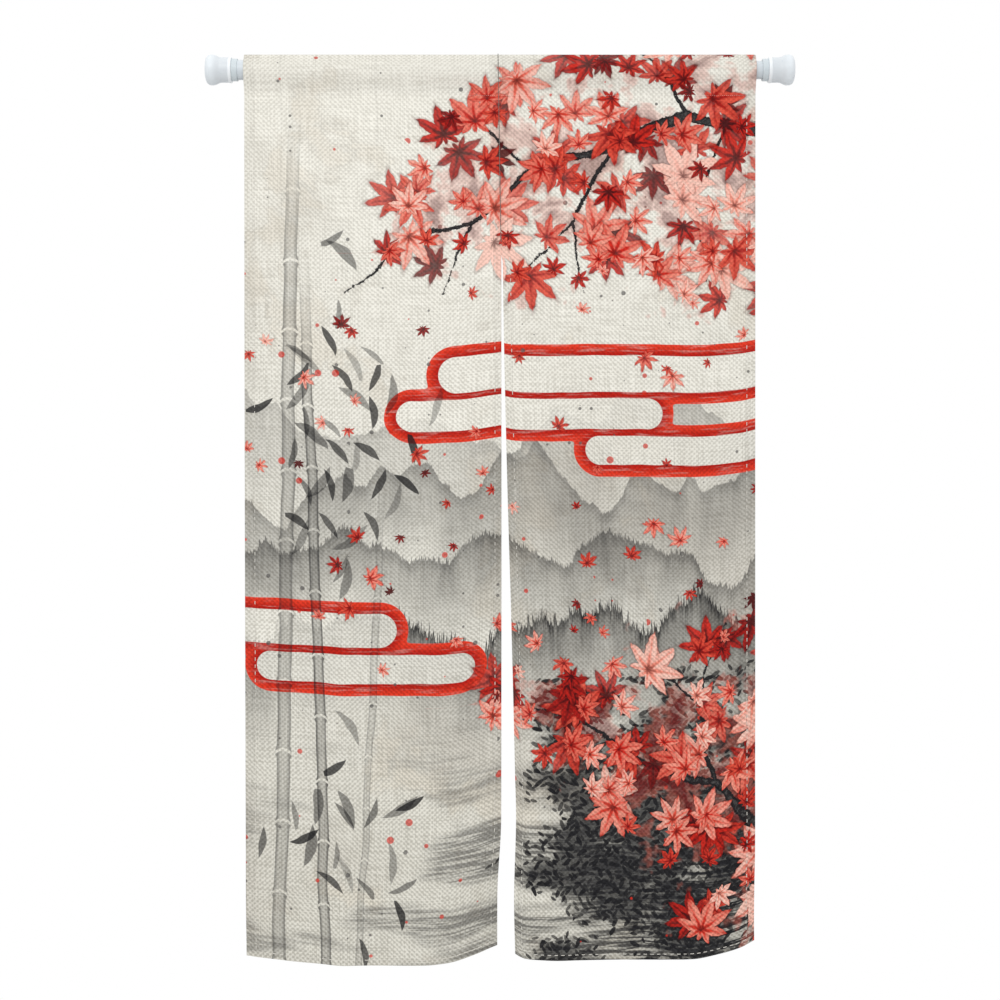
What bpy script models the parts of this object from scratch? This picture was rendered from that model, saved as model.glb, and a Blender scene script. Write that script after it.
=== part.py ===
"""Noren curtain on a tension rod: two hemmed cloth panels, sewn together for the top fifth of their
drop and slit below it, whose folded sleeve slides on a round rod with a bell-shaped cap at each end.

Metres, +Z up. The origin is the middle of the left cap's outer face, on the rod's axis. +X runs
along the rod to the right as the printed front is seen, and the front faces -Y."""

import math
from collections import namedtuple

import bmesh
import bpy

# Rod, over everything from wall to wall, and the two tubes that slide in one another
ROD_LENGTH = 0.980
OUTER_TUBE_RADIUS = 0.0165
TUBE_WALL = 0.0012
RUNNING_GAP = 0.0003
INNER_TUBE_RADIUS = OUTER_TUBE_RADIUS - TUBE_WALL - RUNNING_GAP
OUTER_TUBE_END = 0.700
INNER_TUBE_START = 0.540
ROUND_SIDES = 40
SHARP_ANGLE = math.radians(35.0)

# End caps: a domed edge round a flat face, a waist, and a bead where the tube goes in
CAP_LENGTH = 0.0433
CAP_FACE_RADIUS = 0.0150
CAP_BELL_RADIUS = 0.0250
CAP_DOME_DEPTH = 0.0085
CAP_BELL_END = 0.0125
CAP_WAIST_RADIUS = 0.0207
CAP_WAIST_START = 0.0260
CAP_BEAD_START = 0.0380
CAP_BEAD_RADIUS = 0.0216
CAP_SOCKET_FLOOR = 0.0150
CAP_DOME_STEPS = 4
CAP_TAPER_STEPS = 5
COLLAR_RADIUS = 0.0185
COLLAR_LENGTH = 0.0095

# Cloth: one ply, hems of two, and the sleeve that the top is folded back and sewn into
PLY = 0.0012
HEM_STEP = 0.0008
SEAM_GAP = 0.0004
SLEEVE_CLEARANCE = 0.0004
SLEEVE_RISE = 0.0275
SLEEVE_DROP = 0.0700
SLEEVE_BAND = 0.0040
CREASE_HALF_WIDTH = 0.0015
CREASE_HEIGHT = 0.0013
SLEEVE_LEAVES_ROD = math.radians(104.0)
DRAW_IN_BEND = 1.15
OUTER_SIDE_HEM = 0.017
SLIT_SIDE_HEM = 0.013
BOTTOM_HEM = 0.0125
FULL_DROP = 1.523
SEAM_END = 0.336
CURL_BAND = 0.19
PANEL_COLUMNS = 12
PANEL_ROWS = 19
CURL_ROWS = 8
WRAP_STEPS = 5
DRAW_IN_STEPS = 7

# Each edge of a panel as rows of (drop below the cloth's top, distance along the rod)
EdgeRow = namedtuple("EdgeRow", "drop x")
LEFT_EDGE = (EdgeRow(0.000, 0.0640), EdgeRow(0.500, 0.0645), EdgeRow(1.523, 0.0675))
RIGHT_EDGE = (EdgeRow(0.000, 0.9155), EdgeRow(1.350, 0.9150), EdgeRow(1.523, 0.9185))
SEAM_EDGE = (
    EdgeRow(0.000, 0.4865),
    EdgeRow(0.297, 0.4912),
    EdgeRow(0.336, 0.4920),
    EdgeRow(0.800, 0.4922),
    EdgeRow(1.270, 0.4918),
    EdgeRow(1.410, 0.4852),
    EdgeRow(1.523, 0.4850),
)
# How far the right panel stands off the left one's edge below the seam
OpeningRow = namedtuple("OpeningRow", "drop width")
SLIT_OPENING = (
    OpeningRow(0.000, SEAM_GAP),
    OpeningRow(SEAM_END, SEAM_GAP),
    OpeningRow(0.494, 0.0055),
    OpeningRow(0.744, 0.0110),
    OpeningRow(0.911, 0.0160),
    OpeningRow(1.211, 0.0238),
    OpeningRow(1.523, 0.0312),
)

# The hem's rise above its lowest point, across each panel from its left edge
HemRow = namedtuple("HemRow", "across rise")
LEFT_HEM = (
    HemRow(0.00, 0.0140),
    HemRow(0.12, 0.0130),
    HemRow(0.28, 0.0060),
    HemRow(0.40, 0.0005),
    HemRow(0.70, 0.0015),
    HemRow(0.80, 0.0045),
    HemRow(0.90, 0.0150),
    HemRow(1.00, 0.0305),
)
RIGHT_HEM = (
    HemRow(0.00, 0.0150),
    HemRow(0.05, 0.0108),
    HemRow(0.15, 0.0100),
    HemRow(0.60, 0.0100),
    HemRow(0.74, 0.0115),
    HemRow(0.86, 0.0190),
    HemRow(0.94, 0.0255),
    HemRow(1.00, 0.0350),
)

# Soft upright folds, deepest at the hem: back is away from the viewer, so a minus comes forward
Fold = namedtuple("Fold", "across width back")
LEFT_FOLDS = (Fold(0.20, 0.17, -0.006), Fold(0.54, 0.20, 0.007), Fold(0.84, 0.12, -0.003))
RIGHT_FOLDS = (Fold(0.14, 0.12, -0.003), Fold(0.42, 0.20, -0.006), Fold(0.74, 0.15, 0.006))
FOLD_START = 0.30
FOLD_FULL = 1.45

# Corners of the hem that curl back, each with the reach of its curl
Curl = namedtuple("Curl", "across reach back")
LEFT_CURLS = (Curl(0.0, 0.10, 0.006), Curl(1.0, 0.18, 0.028))
RIGHT_CURLS = (Curl(0.0, 0.09, 0.010), Curl(1.0, 0.19, 0.031))
CURL_BEND = 1.4

Panel = namedtuple("Panel", "name left right hem folds curls left_hem_width right_hem_width")


def clear_scene():
    for thing in list(bpy.data.objects):
        bpy.data.objects.remove(thing, do_unlink=True)


def painted(name, colour, roughness, metallic=0.0):
    material = bpy.data.materials.new(name)
    material.use_nodes = True
    shader = material.node_tree.nodes["Principled BSDF"]
    shader.inputs["Base Color"].default_value = (*colour, 1.0)
    shader.inputs["Roughness"].default_value = roughness
    shader.inputs["Metallic"].default_value = metallic
    return material


def add_object(name, bm, material):
    """Turn a finished bmesh into a named object that is shaded smooth but for its sharp edges."""
    bmesh.ops.recalc_face_normals(bm, faces=bm.faces)
    mesh = bpy.data.meshes.new(name)
    bm.to_mesh(mesh)
    bm.free()
    mesh.materials.append(material)
    mesh.shade_smooth()
    mesh.set_sharp_from_angle(angle=SHARP_ANGLE)
    thing = bpy.data.objects.new(name, mesh)
    bpy.context.collection.objects.link(thing)
    return thing


def smooth(t):
    t = min(max(t, 0.0), 1.0)
    return t * t * (3.0 - 2.0 * t)


def along_table(rows, place):
    """Read a table of (place, value) rows with a smooth curve that keeps each row's own slope."""
    places = [row[0] for row in rows]
    values = [row[1] for row in rows]
    if place <= places[0]:
        return values[0]
    if place >= places[-1]:
        return values[-1]
    i = max(k for k in range(len(rows) - 1) if places[k] <= place)

    def slope(k):
        if k == 0 or k == len(rows) - 1:
            near = 1 if k == 0 else k
            return (values[near] - values[near - 1]) / (places[near] - places[near - 1])
        before = (values[k] - values[k - 1]) / (places[k] - places[k - 1])
        after = (values[k + 1] - values[k]) / (places[k + 1] - places[k])
        if before * after <= 0.0:
            return 0.0
        return 2.0 * before * after / (before + after)

    step = places[i + 1] - places[i]
    t = (place - places[i]) / step
    start = (1 + 2 * t) * (1 - t) ** 2 * values[i] + t * (1 - t) ** 2 * step * slope(i)
    end = t * t * (3 - 2 * t) * values[i + 1] + t * t * (t - 1) * step * slope(i + 1)
    return start + end


# Rod


def turned(name, outline, material, closed):
    """Spin an outline of (distance along the rod, radius) points about the rod's axis."""
    bm = bmesh.new()
    corners = [bm.verts.new((x, 0.0, radius)) for x, radius in outline]
    pairs = list(zip(corners, corners[1:]))
    if closed:
        pairs.append((corners[-1], corners[0]))
    edges = [bm.edges.new(pair) for pair in pairs]
    bmesh.ops.spin(
        bm,
        geom=corners + edges,
        cent=(0.0, 0.0, 0.0),
        axis=(1.0, 0.0, 0.0),
        angle=2.0 * math.pi,
        steps=ROUND_SIDES,
        use_merge=True,
    )
    bmesh.ops.remove_doubles(bm, verts=bm.verts, dist=0.000001)
    return add_object(name, bm, material)


def tube(name, start, end, radius, wall, material):
    inside = radius - wall
    outline = [(start, inside), (start, radius), (end, radius), (end, inside)]
    return turned(name, outline, material, closed=True)


def cap_outline():
    """Half section of an end cap, from its outer face inwards to the floor of its socket."""
    outline = [(0.0, 0.0), (0.0, CAP_FACE_RADIUS)]
    dome = CAP_BELL_RADIUS - CAP_FACE_RADIUS
    for step in range(1, CAP_DOME_STEPS + 1):
        angle = math.radians(90.0) * step / CAP_DOME_STEPS
        x = CAP_DOME_DEPTH * (1.0 - math.cos(angle))
        outline.append((x, CAP_FACE_RADIUS + dome * math.sin(angle)))
    for step in range(CAP_TAPER_STEPS + 1):
        t = step / CAP_TAPER_STEPS
        x = CAP_BELL_END + (CAP_WAIST_START - CAP_BELL_END) * t
        radius = CAP_BELL_RADIUS + (CAP_WAIST_RADIUS - CAP_BELL_RADIUS) * smooth(t)
        outline.append((x, radius))
    bead = CAP_LENGTH - CAP_BEAD_START
    outline.append((CAP_BEAD_START, CAP_WAIST_RADIUS))
    outline.append((CAP_BEAD_START + bead / 4, CAP_BEAD_RADIUS))
    outline.append((CAP_LENGTH - bead / 4, CAP_BEAD_RADIUS))
    outline.append((CAP_LENGTH, CAP_WAIST_RADIUS))
    return outline


def end_cap(name, tube_radius, material, mirrored):
    """A cap whose blind socket takes the tube's end, for the left wall or mirrored for the right."""
    socket = tube_radius + RUNNING_GAP
    outline = cap_outline() + [(CAP_LENGTH, socket), (CAP_SOCKET_FLOOR, socket), (CAP_SOCKET_FLOOR, 0.0)]
    if mirrored:
        outline = [(ROD_LENGTH - x, radius) for x, radius in outline]
    return turned(name, outline, material, closed=False)


def collar(name, tube_radius, material, mirrored):
    start = CAP_LENGTH + RUNNING_GAP
    end = start + COLLAR_LENGTH
    if mirrored:
        start, end = ROD_LENGTH - end, ROD_LENGTH - start
    inside = tube_radius + RUNNING_GAP
    return tube(name, start, end, COLLAR_RADIUS, COLLAR_RADIUS - inside, material)


def build_rod():
    steel = painted("rod_white_coat", (0.74, 0.80, 0.83), 0.32)
    plastic = painted("cap_white_plastic", (0.80, 0.84, 0.87), 0.42)
    near_end = CAP_SOCKET_FLOOR + RUNNING_GAP
    tube("rod_outer_tube", near_end, OUTER_TUBE_END, OUTER_TUBE_RADIUS, TUBE_WALL, steel)
    tube("rod_inner_tube", INNER_TUBE_START, ROD_LENGTH - near_end, INNER_TUBE_RADIUS, TUBE_WALL, steel)
    ends = (("left", OUTER_TUBE_RADIUS, False), ("right", INNER_TUBE_RADIUS, True))
    for side, radius, mirrored in ends:
        collar("collar_" + side, radius, plastic, mirrored)
        end_cap("end_cap_" + side, radius, plastic, mirrored)


# Cloth


def sleeve_half():
    """The sleeve's middle line, one side, from the crease on top down to the stitch line.

    The cloth stands in a narrow tent over the rod, wraps its side and draws in below it."""
    wrap = OUTER_TUBE_RADIUS + SLEEVE_CLEARANCE + PLY / 2
    top = SLEEVE_RISE - PLY / 2
    touch = math.acos(wrap / top)
    leave = SLEEVE_LEAVES_ROD
    points = [(0.0, top), (CREASE_HALF_WIDTH, top - CREASE_HEIGHT)]
    for step in range(WRAP_STEPS + 1):
        angle = touch + (leave - touch) * step / WRAP_STEPS
        points.append((wrap * math.sin(angle), wrap * math.cos(angle)))
    start_y, start_z = points[-1]
    stitch_z = SLEEVE_RISE - SLEEVE_DROP
    for step in range(1, DRAW_IN_STEPS + 1):
        t = step / DRAW_IN_STEPS
        y = PLY / 2 + (start_y - PLY / 2) * (1.0 - smooth(t)) ** DRAW_IN_BEND
        points.append((y, start_z + (stitch_z - start_z) * t))
    return points


def sleeve_line():
    """The whole middle line, from the front's stitch line over the crease to the back's."""
    half = sleeve_half()
    front = [(-y, z) for y, z in reversed(half)]
    return front + half[1:]


def sleeve_skins():
    """Outer and inner points of the sleeve's wall, half a ply to each side of its middle line."""
    line = sleeve_line()
    outer = []
    inner = []
    for i, (y, z) in enumerate(line):
        if i in (0, len(line) - 1):
            normal_y, normal_z = math.copysign(1.0, y), 0.0
        else:
            along_y = line[i + 1][0] - line[i - 1][0]
            along_z = line[i + 1][1] - line[i - 1][1]
            size = math.hypot(along_y, along_z)
            normal_y, normal_z = -along_z / size, along_y / size
        outer.append((y + normal_y * PLY / 2, z + normal_z * PLY / 2))
        inner.append((y - normal_y * PLY / 2, z - normal_z * PLY / 2))
    return outer, inner


def hang_back(panel, across, drop):
    """How far the cloth hangs behind the rod's plane, from its folds and curled corners."""
    fullness = smooth((drop - FOLD_START) / (FOLD_FULL - FOLD_START))
    back = 0.0
    for fold in panel.folds:
        back += fold.back * fullness * math.exp(-(((across - fold.across) / fold.width) ** 2))
    bottom = hem_drop(panel, across)
    wide = along_table(panel.right, drop) - along_table(panel.left, drop)
    for curl in panel.curls:
        away = math.hypot((across - curl.across) * wide, bottom - drop)
        back += curl.back * smooth(1.0 - away / curl.reach) ** CURL_BEND
    return back


def hem_drop(panel, across):
    return FULL_DROP - along_table(panel.hem, across)


def across_to_x(panel, across, drop):
    left = along_table(panel.left, drop)
    right = along_table(panel.right, drop)
    return left + (right - left) * across


def row_shares():
    """Where the cloth's cross rows lie between the sleeve's stitches, 0, and the hem's edge, 1."""
    hang = FULL_DROP - SLEEVE_DROP
    first = SLEEVE_BAND / hang
    curl_start = 1.0 - CURL_BAND / hang
    hem_top = 1.0 - BOTTOM_HEM / hang
    step = HEM_STEP / hang
    shares = [first, first + step]
    shares += [first + (curl_start - first) * k / PANEL_ROWS for k in range(1, PANEL_ROWS + 1)]
    shares += [curl_start + (hem_top - curl_start) * k / CURL_ROWS for k in range(1, CURL_ROWS)]
    return shares + [hem_top - step, hem_top, 1.0]


def column_places(panel):
    """Where the cloth's upright columns lie across a panel, with a step at each side hem."""
    wide = along_table(panel.right, 0.0) - along_table(panel.left, 0.0)
    left_hem = panel.left_hem_width / wide
    right_hem = 1.0 - panel.right_hem_width / wide
    step = HEM_STEP / wide
    inner = [left_hem + step + (right_hem - left_hem - 2 * step) * k / PANEL_COLUMNS
             for k in range(PANEL_COLUMNS + 1)]
    return [0.0, left_hem] + inner + [right_hem, 1.0]


def column_points(panel, across, in_side_hem, shares):
    """All the section's points at one place across the panel, in the order that its faces use."""
    outer, inner = sleeve_skins()
    points = []
    for y, z in outer + inner[1:]:
        points.append((across_to_x(panel, across, SLEEVE_RISE - z), y, z))
    bottom = hem_drop(panel, across)
    hem_top = shares[-2]
    for k, share in enumerate(shares):
        drop = SLEEVE_DROP + share * (bottom - SLEEVE_DROP)
        x = across_to_x(panel, across, drop)
        back = hang_back(panel, across, drop)
        doubled = in_side_hem or share >= hem_top or k == 0
        z = SLEEVE_RISE - drop
        points.append((x, back - PLY, z))
        points.append((x, back + (PLY if doubled else 0.0), z))
    return points


def section_faces(line_count, row_count):
    """The cloth's cut section as faces: a ring for the sleeve's wall and a tail for the panel."""
    last = line_count - 1
    valley = line_count + last - 1

    def inside(i):
        return valley if i in (0, last) else line_count + i - 1

    faces = [(i, i + 1, inside(i + 1), inside(i)) for i in range(last)]
    front = [2 * line_count - 1 + 2 * k for k in range(row_count)]
    faces.append((0, valley, last, front[0] + 1, front[0]))
    for k in range(row_count - 1):
        faces.append((front[k], front[k] + 1, front[k + 1] + 1, front[k + 1]))
    return faces


def build_panel(panel, material):
    """Extrude the section from column to column, so that each column takes the cloth's place there."""
    shares = row_shares()
    places = column_places(panel)
    line_count = len(sleeve_line())
    bm = bmesh.new()
    station = bm.verts.layers.int.new("station")
    hem_columns = (0, 1, len(places) - 2, len(places) - 1)
    for column, across in enumerate(places):
        points = column_points(panel, across, column in hem_columns, shares)
        if column == 0:
            moved = []
            for k, point in enumerate(points):
                vert = bm.verts.new(point)
                vert[station] = k
                moved.append(vert)
            cap = [bm.faces.new([moved[k] for k in face])
                   for face in section_faces(line_count, len(shares))]
        else:
            grown = bmesh.ops.extrude_face_region(bm, geom=cap)["geom"]
            if column > 1:
                bmesh.ops.delete(bm, geom=cap, context="FACES")
            cap = [item for item in grown if isinstance(item, bmesh.types.BMFace)]
            for item in grown:
                if isinstance(item, bmesh.types.BMVert):
                    item.co = points[item[station]]
    bm.verts.layers.int.remove(station)
    return add_object(panel.name, bm, material)


def build_curtain():
    cloth = painted("cream_linen_weave", (0.78, 0.76, 0.71), 0.92)
    slit_side = tuple(
        EdgeRow(drop, along_table(SEAM_EDGE, drop) + along_table(SLIT_OPENING, drop))
        for drop in sorted({row.drop for row in SEAM_EDGE + SLIT_OPENING})
    )
    build_panel(
        Panel("panel_left", LEFT_EDGE, SEAM_EDGE, LEFT_HEM, LEFT_FOLDS, LEFT_CURLS,
              OUTER_SIDE_HEM, SLIT_SIDE_HEM),
        cloth,
    )
    build_panel(
        Panel("panel_right", slit_side, RIGHT_EDGE, RIGHT_HEM, RIGHT_FOLDS, RIGHT_CURLS,
              SLIT_SIDE_HEM, OUTER_SIDE_HEM),
        cloth,
    )


clear_scene()
build_rod()
build_curtain()
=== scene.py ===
"""Looks of the noren curtain on its tension rod: the coated tubes, moulded caps, hemmed and printed
cloth, and the threads that sew it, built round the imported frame.

Metres. +X runs along the rod, -Y is the printed front, +Z is up."""

import math
from collections import namedtuple

import bmesh
import bpy
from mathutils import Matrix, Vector, noise


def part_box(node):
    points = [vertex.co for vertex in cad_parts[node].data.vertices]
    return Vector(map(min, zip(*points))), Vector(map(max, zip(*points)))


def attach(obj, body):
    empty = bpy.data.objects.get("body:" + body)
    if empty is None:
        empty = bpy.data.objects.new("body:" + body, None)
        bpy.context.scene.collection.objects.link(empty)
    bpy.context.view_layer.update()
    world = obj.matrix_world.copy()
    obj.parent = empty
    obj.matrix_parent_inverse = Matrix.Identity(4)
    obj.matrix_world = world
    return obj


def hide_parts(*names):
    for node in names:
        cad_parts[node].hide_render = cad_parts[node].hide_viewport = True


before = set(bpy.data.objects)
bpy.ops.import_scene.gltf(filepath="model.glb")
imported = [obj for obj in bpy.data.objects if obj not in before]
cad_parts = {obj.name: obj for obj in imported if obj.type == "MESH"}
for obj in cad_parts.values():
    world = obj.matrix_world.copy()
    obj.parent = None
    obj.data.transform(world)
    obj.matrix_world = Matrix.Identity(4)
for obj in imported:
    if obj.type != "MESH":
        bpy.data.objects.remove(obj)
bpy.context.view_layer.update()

# Rod tubes
# Two thin steel tubes with a bluish white coat; the narrower one slides in the wider and a spring
# inside pushes them apart between the two sides of the doorway.

ROUND_STEPS = 96
tube_low, tube_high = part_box("rod_outer_tube")
inner_low, inner_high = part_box("rod_inner_tube")
ROD_AXIS_Z = 0.5 * (tube_low.z + tube_high.z)
OUTER_RADIUS = 0.5 * (tube_high.z - tube_low.z)
INNER_RADIUS = 0.5 * (inner_high.z - inner_low.z)
TUBE_WALL = 0.0012
TUBE_ROUNDING = 0.0004
MERGE_DISTANCE = 0.000002


def finish_object(name, bm, material, sharp_degrees=40):
    """Make a bmesh whose faces already point out into an object that is shaded smooth."""
    mesh = bpy.data.meshes.new(name)
    bm.to_mesh(mesh)
    bm.free()
    mesh.materials.append(material)
    mesh.shade_smooth()
    mesh.set_sharp_from_angle(angle=math.radians(sharp_degrees))
    piece = bpy.data.objects.new(name, mesh)
    bpy.context.scene.collection.objects.link(piece)
    return piece


def lathe(name, outline, material, rounding=0.0, rounded=()):
    """Spin a half section, (distance along the rod, radius), about the rod's axis.

    The corners of the outline that `rounded` lists by number are bevelled first."""
    bm = bmesh.new()
    corners = [bm.verts.new((x, 0.0, radius)) for x, radius in outline]
    open_ends = outline[0][1] == 0.0 and outline[-1][1] == 0.0
    edges = [bm.edges.new(pair) for pair in zip(corners, corners[1:])]
    if not open_ends:
        edges.append(bm.edges.new((corners[-1], corners[0])))
    if rounded:
        bmesh.ops.bevel(bm, geom=[corners[k] for k in rounded], offset=rounding, segments=4,
                        profile=0.5, affect="VERTICES", material=-1)
    bmesh.ops.spin(bm, geom=bm.verts[:] + bm.edges[:], cent=(0.0, 0.0, 0.0), axis=(1.0, 0.0, 0.0),
                   angle=math.tau, steps=ROUND_STEPS, use_merge=True)
    bmesh.ops.remove_doubles(bm, verts=bm.verts, dist=MERGE_DISTANCE)
    bmesh.ops.recalc_face_normals(bm, faces=bm.faces)
    bmesh.ops.translate(bm, verts=bm.verts, vec=(0.0, 0.0, ROD_AXIS_Z))
    return finish_object(name, bm, material)


class Wire:
    """One socket of a node tree: arithmetic on wires adds the Math nodes that work it out."""

    def __init__(self, nodes, socket):
        self.nodes = nodes
        self.socket = socket

    def __add__(self, other):
        return self.nodes.maths("ADD", self, other)

    def __sub__(self, other):
        return self.nodes.maths("SUBTRACT", self, other)

    def __rsub__(self, other):
        return self.nodes.maths("SUBTRACT", other, self)

    def __mul__(self, other):
        return self.nodes.maths("MULTIPLY", self, other)

    def __truediv__(self, other):
        return self.nodes.maths("DIVIDE", self, other)

    def __rtruediv__(self, other):
        return self.nodes.maths("DIVIDE", other, self)

    def __pow__(self, other):
        return self.nodes.maths("POWER", self, other)

    def __abs__(self):
        return self.nodes.maths("ABSOLUTE", self)

    __radd__ = __add__
    __rmul__ = __mul__


class Nodes:
    """A node tree in the making. `node` adds any node; the other methods name common ones."""

    def __init__(self, tree, dimensions="3D"):
        self.tree = tree
        self.dimensions = dimensions

    def node(self, kind, settings, inputs, output=0):
        added = self.tree.nodes.new("ShaderNode" + kind)
        for key, value in settings.items():
            setattr(added, key, value)
        for key, value in inputs.items():
            self.feed(added.inputs[key], value)
        return Wire(self, added.outputs[output])

    def feed(self, socket, value):
        if isinstance(value, Wire):
            self.tree.links.new(value.socket, socket)
        else:
            socket.default_value = value

    def maths(self, operation, *values):
        return self.node("Math", {"operation": operation}, dict(enumerate(values)))

    def vector(self, operation, *values, output=0):
        return self.node("VectorMath", {"operation": operation}, dict(enumerate(values)), output)

    def step(self, value, low, high):
        """0 where the value is under low, 1 over high, and a smooth rise between them."""
        settings = {"interpolation_type": "SMOOTHSTEP"}
        return self.node("MapRange", settings, {"Value": value, "From Min": low, "From Max": high})

    def mix(self, share, under, over, blend="MIX"):
        """Colours: `under` where share is 0, `over` where it is 1."""
        settings = {"data_type": "RGBA", "blend_type": blend, "clamp_factor": True}
        return self.node("Mix", settings, {0: share, 6: under, 7: over}, output=2)

    def grain(self, place, scale, detail=2.0, rough=0.5, dimensions=None):
        """Soft noise from 0 to 1 round 0.5."""
        dimensions = dimensions or self.dimensions
        settings = {"noise_dimensions": dimensions}
        inputs = {"Scale": scale, "Detail": detail, "Roughness": rough}
        inputs["W" if dimensions == "1D" else "Vector"] = place
        return self.node("TexNoise", settings, inputs)

    def place(self):
        return self.node("TexCoord", {}, {}, output=3)

    def attribute(self, name):
        """A vector that the mesh keeps under this name."""
        return self.node("Attribute", {"attribute_name": name}, {}, output=1)

    def fuse(self, value, factor, offset):
        """value * factor + offset, in one node."""
        return self.maths("MULTIPLY_ADD", value, factor, offset)

    def squeeze(self, place, *scales):
        return self.vector("MULTIPLY", place, (*scales, 1.0))

    def turn(self, place, angle, centre=(0.0, 0.0, 0.0)):
        """Places turned round a centre, in the plane of x and y."""
        inputs = {"Vector": place, "Angle": angle, "Center": centre}
        return self.node("VectorRotate", {"rotation_type": "Z_AXIS"}, inputs)

    def split(self, vector):
        parts = self.tree.nodes.new("ShaderNodeSeparateXYZ")
        self.feed(parts.inputs[0], vector)
        return [Wire(self, out) for out in parts.outputs]

    def join(self, x, y, z=0.0):
        return self.node("CombineXYZ", {}, {0: x, 1: y, 2: z})

    def relief(self, height, distance):
        return self.node("Bump", {}, {"Height": height, "Distance": distance, "Strength": 1.0})


class Finish(Nodes):
    """A material: its surface is one Principled shader."""

    def __init__(self, name, dimensions="3D"):
        self.material = bpy.data.materials.new(name)
        self.material.use_nodes = True
        super().__init__(self.material.node_tree, dimensions)
        self.shader = self.tree.nodes["Principled BSDF"]

    def done(self, **sockets):
        for name, value in sockets.items():
            self.feed(self.shader.inputs[name.replace("_", " ")], value)
        return self.material


def colour(red, green, blue):
    """A colour given as it looks on a screen, 0 to 255, for a socket that takes linear light."""
    def linear(level):
        level /= 255.0
        return level / 12.92 if level <= 0.04045 else ((level + 0.055) / 1.055) ** 2.4
    return (linear(red), linear(green), linear(blue), 1.0)


def tube_coat():
    finish = Finish("rod_coat")
    place = finish.place()
    along = finish.vector("MULTIPLY", place, (0.12, 1.0, 1.0))
    clouds = finish.grain(place, 30.0, 3.0)
    drawn = finish.grain(along, 900.0, 2.0)
    specks = finish.step(finish.grain(place, 520.0, 1.0), 0.70, 0.76)
    tone = finish.mix(clouds, colour(206, 214, 219), colour(218, 225, 230))
    tone = finish.mix(specks * 0.35, tone, colour(176, 186, 192))
    return finish.done(
        Base_Color=tone,
        Roughness=0.24 + clouds * 0.10 + drawn * 0.06,
        Normal=finish.relief(drawn * 0.4 + clouds, 0.00006),
        Coat_Weight=0.25,
        Coat_Roughness=0.12,
        IOR=1.5,
    )


def tube_outline(start, end, radius):
    inside = radius - TUBE_WALL
    return [(start, inside), (start, radius), (end, radius), (end, inside)]


coat = tube_coat()
for name, low, high, radius in (("outer_tube", tube_low, tube_high, OUTER_RADIUS),
                                ("inner_tube", inner_low, inner_high, INNER_RADIUS)):
    tube = lathe(name, tube_outline(low.x, high.x, radius), coat, TUBE_ROUNDING, (0, 1, 2, 3))
    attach(tube, "root")
    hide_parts("rod_" + name)

# Collars and end caps
# Moulded in bluish white plastic. Each collar is a short ring on the tube, tinted like it; each cap
# is a bell with a domed rim, a waist and a bead at its mouth, pushed over the tube's end. A painted
# highlight pales the bell towards its face, and another the bead.

CAP_LENGTH = 0.0433
CAP_FACE_RADIUS = 0.0150
CAP_BELL_RADIUS = 0.0250
CAP_DOME_DEPTH = 0.0085
CAP_BELL_END = 0.0125
CAP_WAIST_RADIUS = 0.0207
CAP_WAIST_START = 0.0260
CAP_BEAD_START = 0.0380
CAP_BEAD_RADIUS = 0.0216
CAP_SOCKET_FLOOR = 0.0150
CAP_PAD_RECESS = 0.0006
CAP_PAD_RADIUS = 0.0120
FIT_GAP = 0.0003
COLLAR_SHOWN_GAP = 0.0001
COLLAR_ROUNDING = 0.0007
DOME_STEPS = 10
WAIST_STEPS = 14
BEAD_STEPS = 8
# Where the painted highlight on the bell is full and where it is gone, measured from the cap's outer face.
BELL_HIGHLIGHT_FULL_TO = 0.008
BELL_HIGHLIGHT_GONE = 0.022
BEAD_EDGE = 0.0006
rod_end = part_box("end_cap_right")[1].x


def cap_plastic(name, dark, light, painted_bell_highlight, bead):
    """Plastic clouded between two tones, with a paler painted highlight on the bell towards its face
    and another on the bead.
    """
    finish = Finish(name)
    place = finish.place()
    clouds = finish.grain(place, 55.0, 3.0)
    orange_peel = finish.grain(place, 900.0, 2.0)
    scuffs = finish.step(finish.grain(finish.vector("MULTIPLY", place, (1.0, 1.0, 0.15)), 420.0, 2.0),
                         0.66, 0.74)
    tone = finish.mix(clouds, dark, light)
    tone = finish.mix(scuffs * 0.4, tone, colour(196, 206, 214))
    x, _, _ = finish.split(place)
    from_end = rod_end / 2 - abs(x - rod_end / 2)
    # Painted highlight on the bead at the cap's mouth.
    painted_bead_highlight_mask = finish.step(from_end, CAP_BEAD_START - BEAD_EDGE, CAP_BEAD_START + BEAD_EDGE)
    # Painted highlight: the bell is paler towards the cap's outer face.
    tone = finish.mix(finish.step(from_end, BELL_HIGHLIGHT_GONE, BELL_HIGHLIGHT_FULL_TO), tone, painted_bell_highlight)
    tone = finish.mix(painted_bead_highlight_mask, tone, bead)
    return finish.done(
        Base_Color=tone,
        Roughness=0.36 + clouds * 0.12 + scuffs * 0.12,
        Normal=finish.relief(orange_peel + clouds * 2.0, 0.00008),
        Subsurface_Weight=0.12,
        Subsurface_Radius=(0.004, 0.004, 0.004),
        IOR=1.48,
    )


def smooth(t):
    t = min(max(t, 0.0), 1.0)
    return t * t * (3.0 - 2.0 * t)


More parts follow.
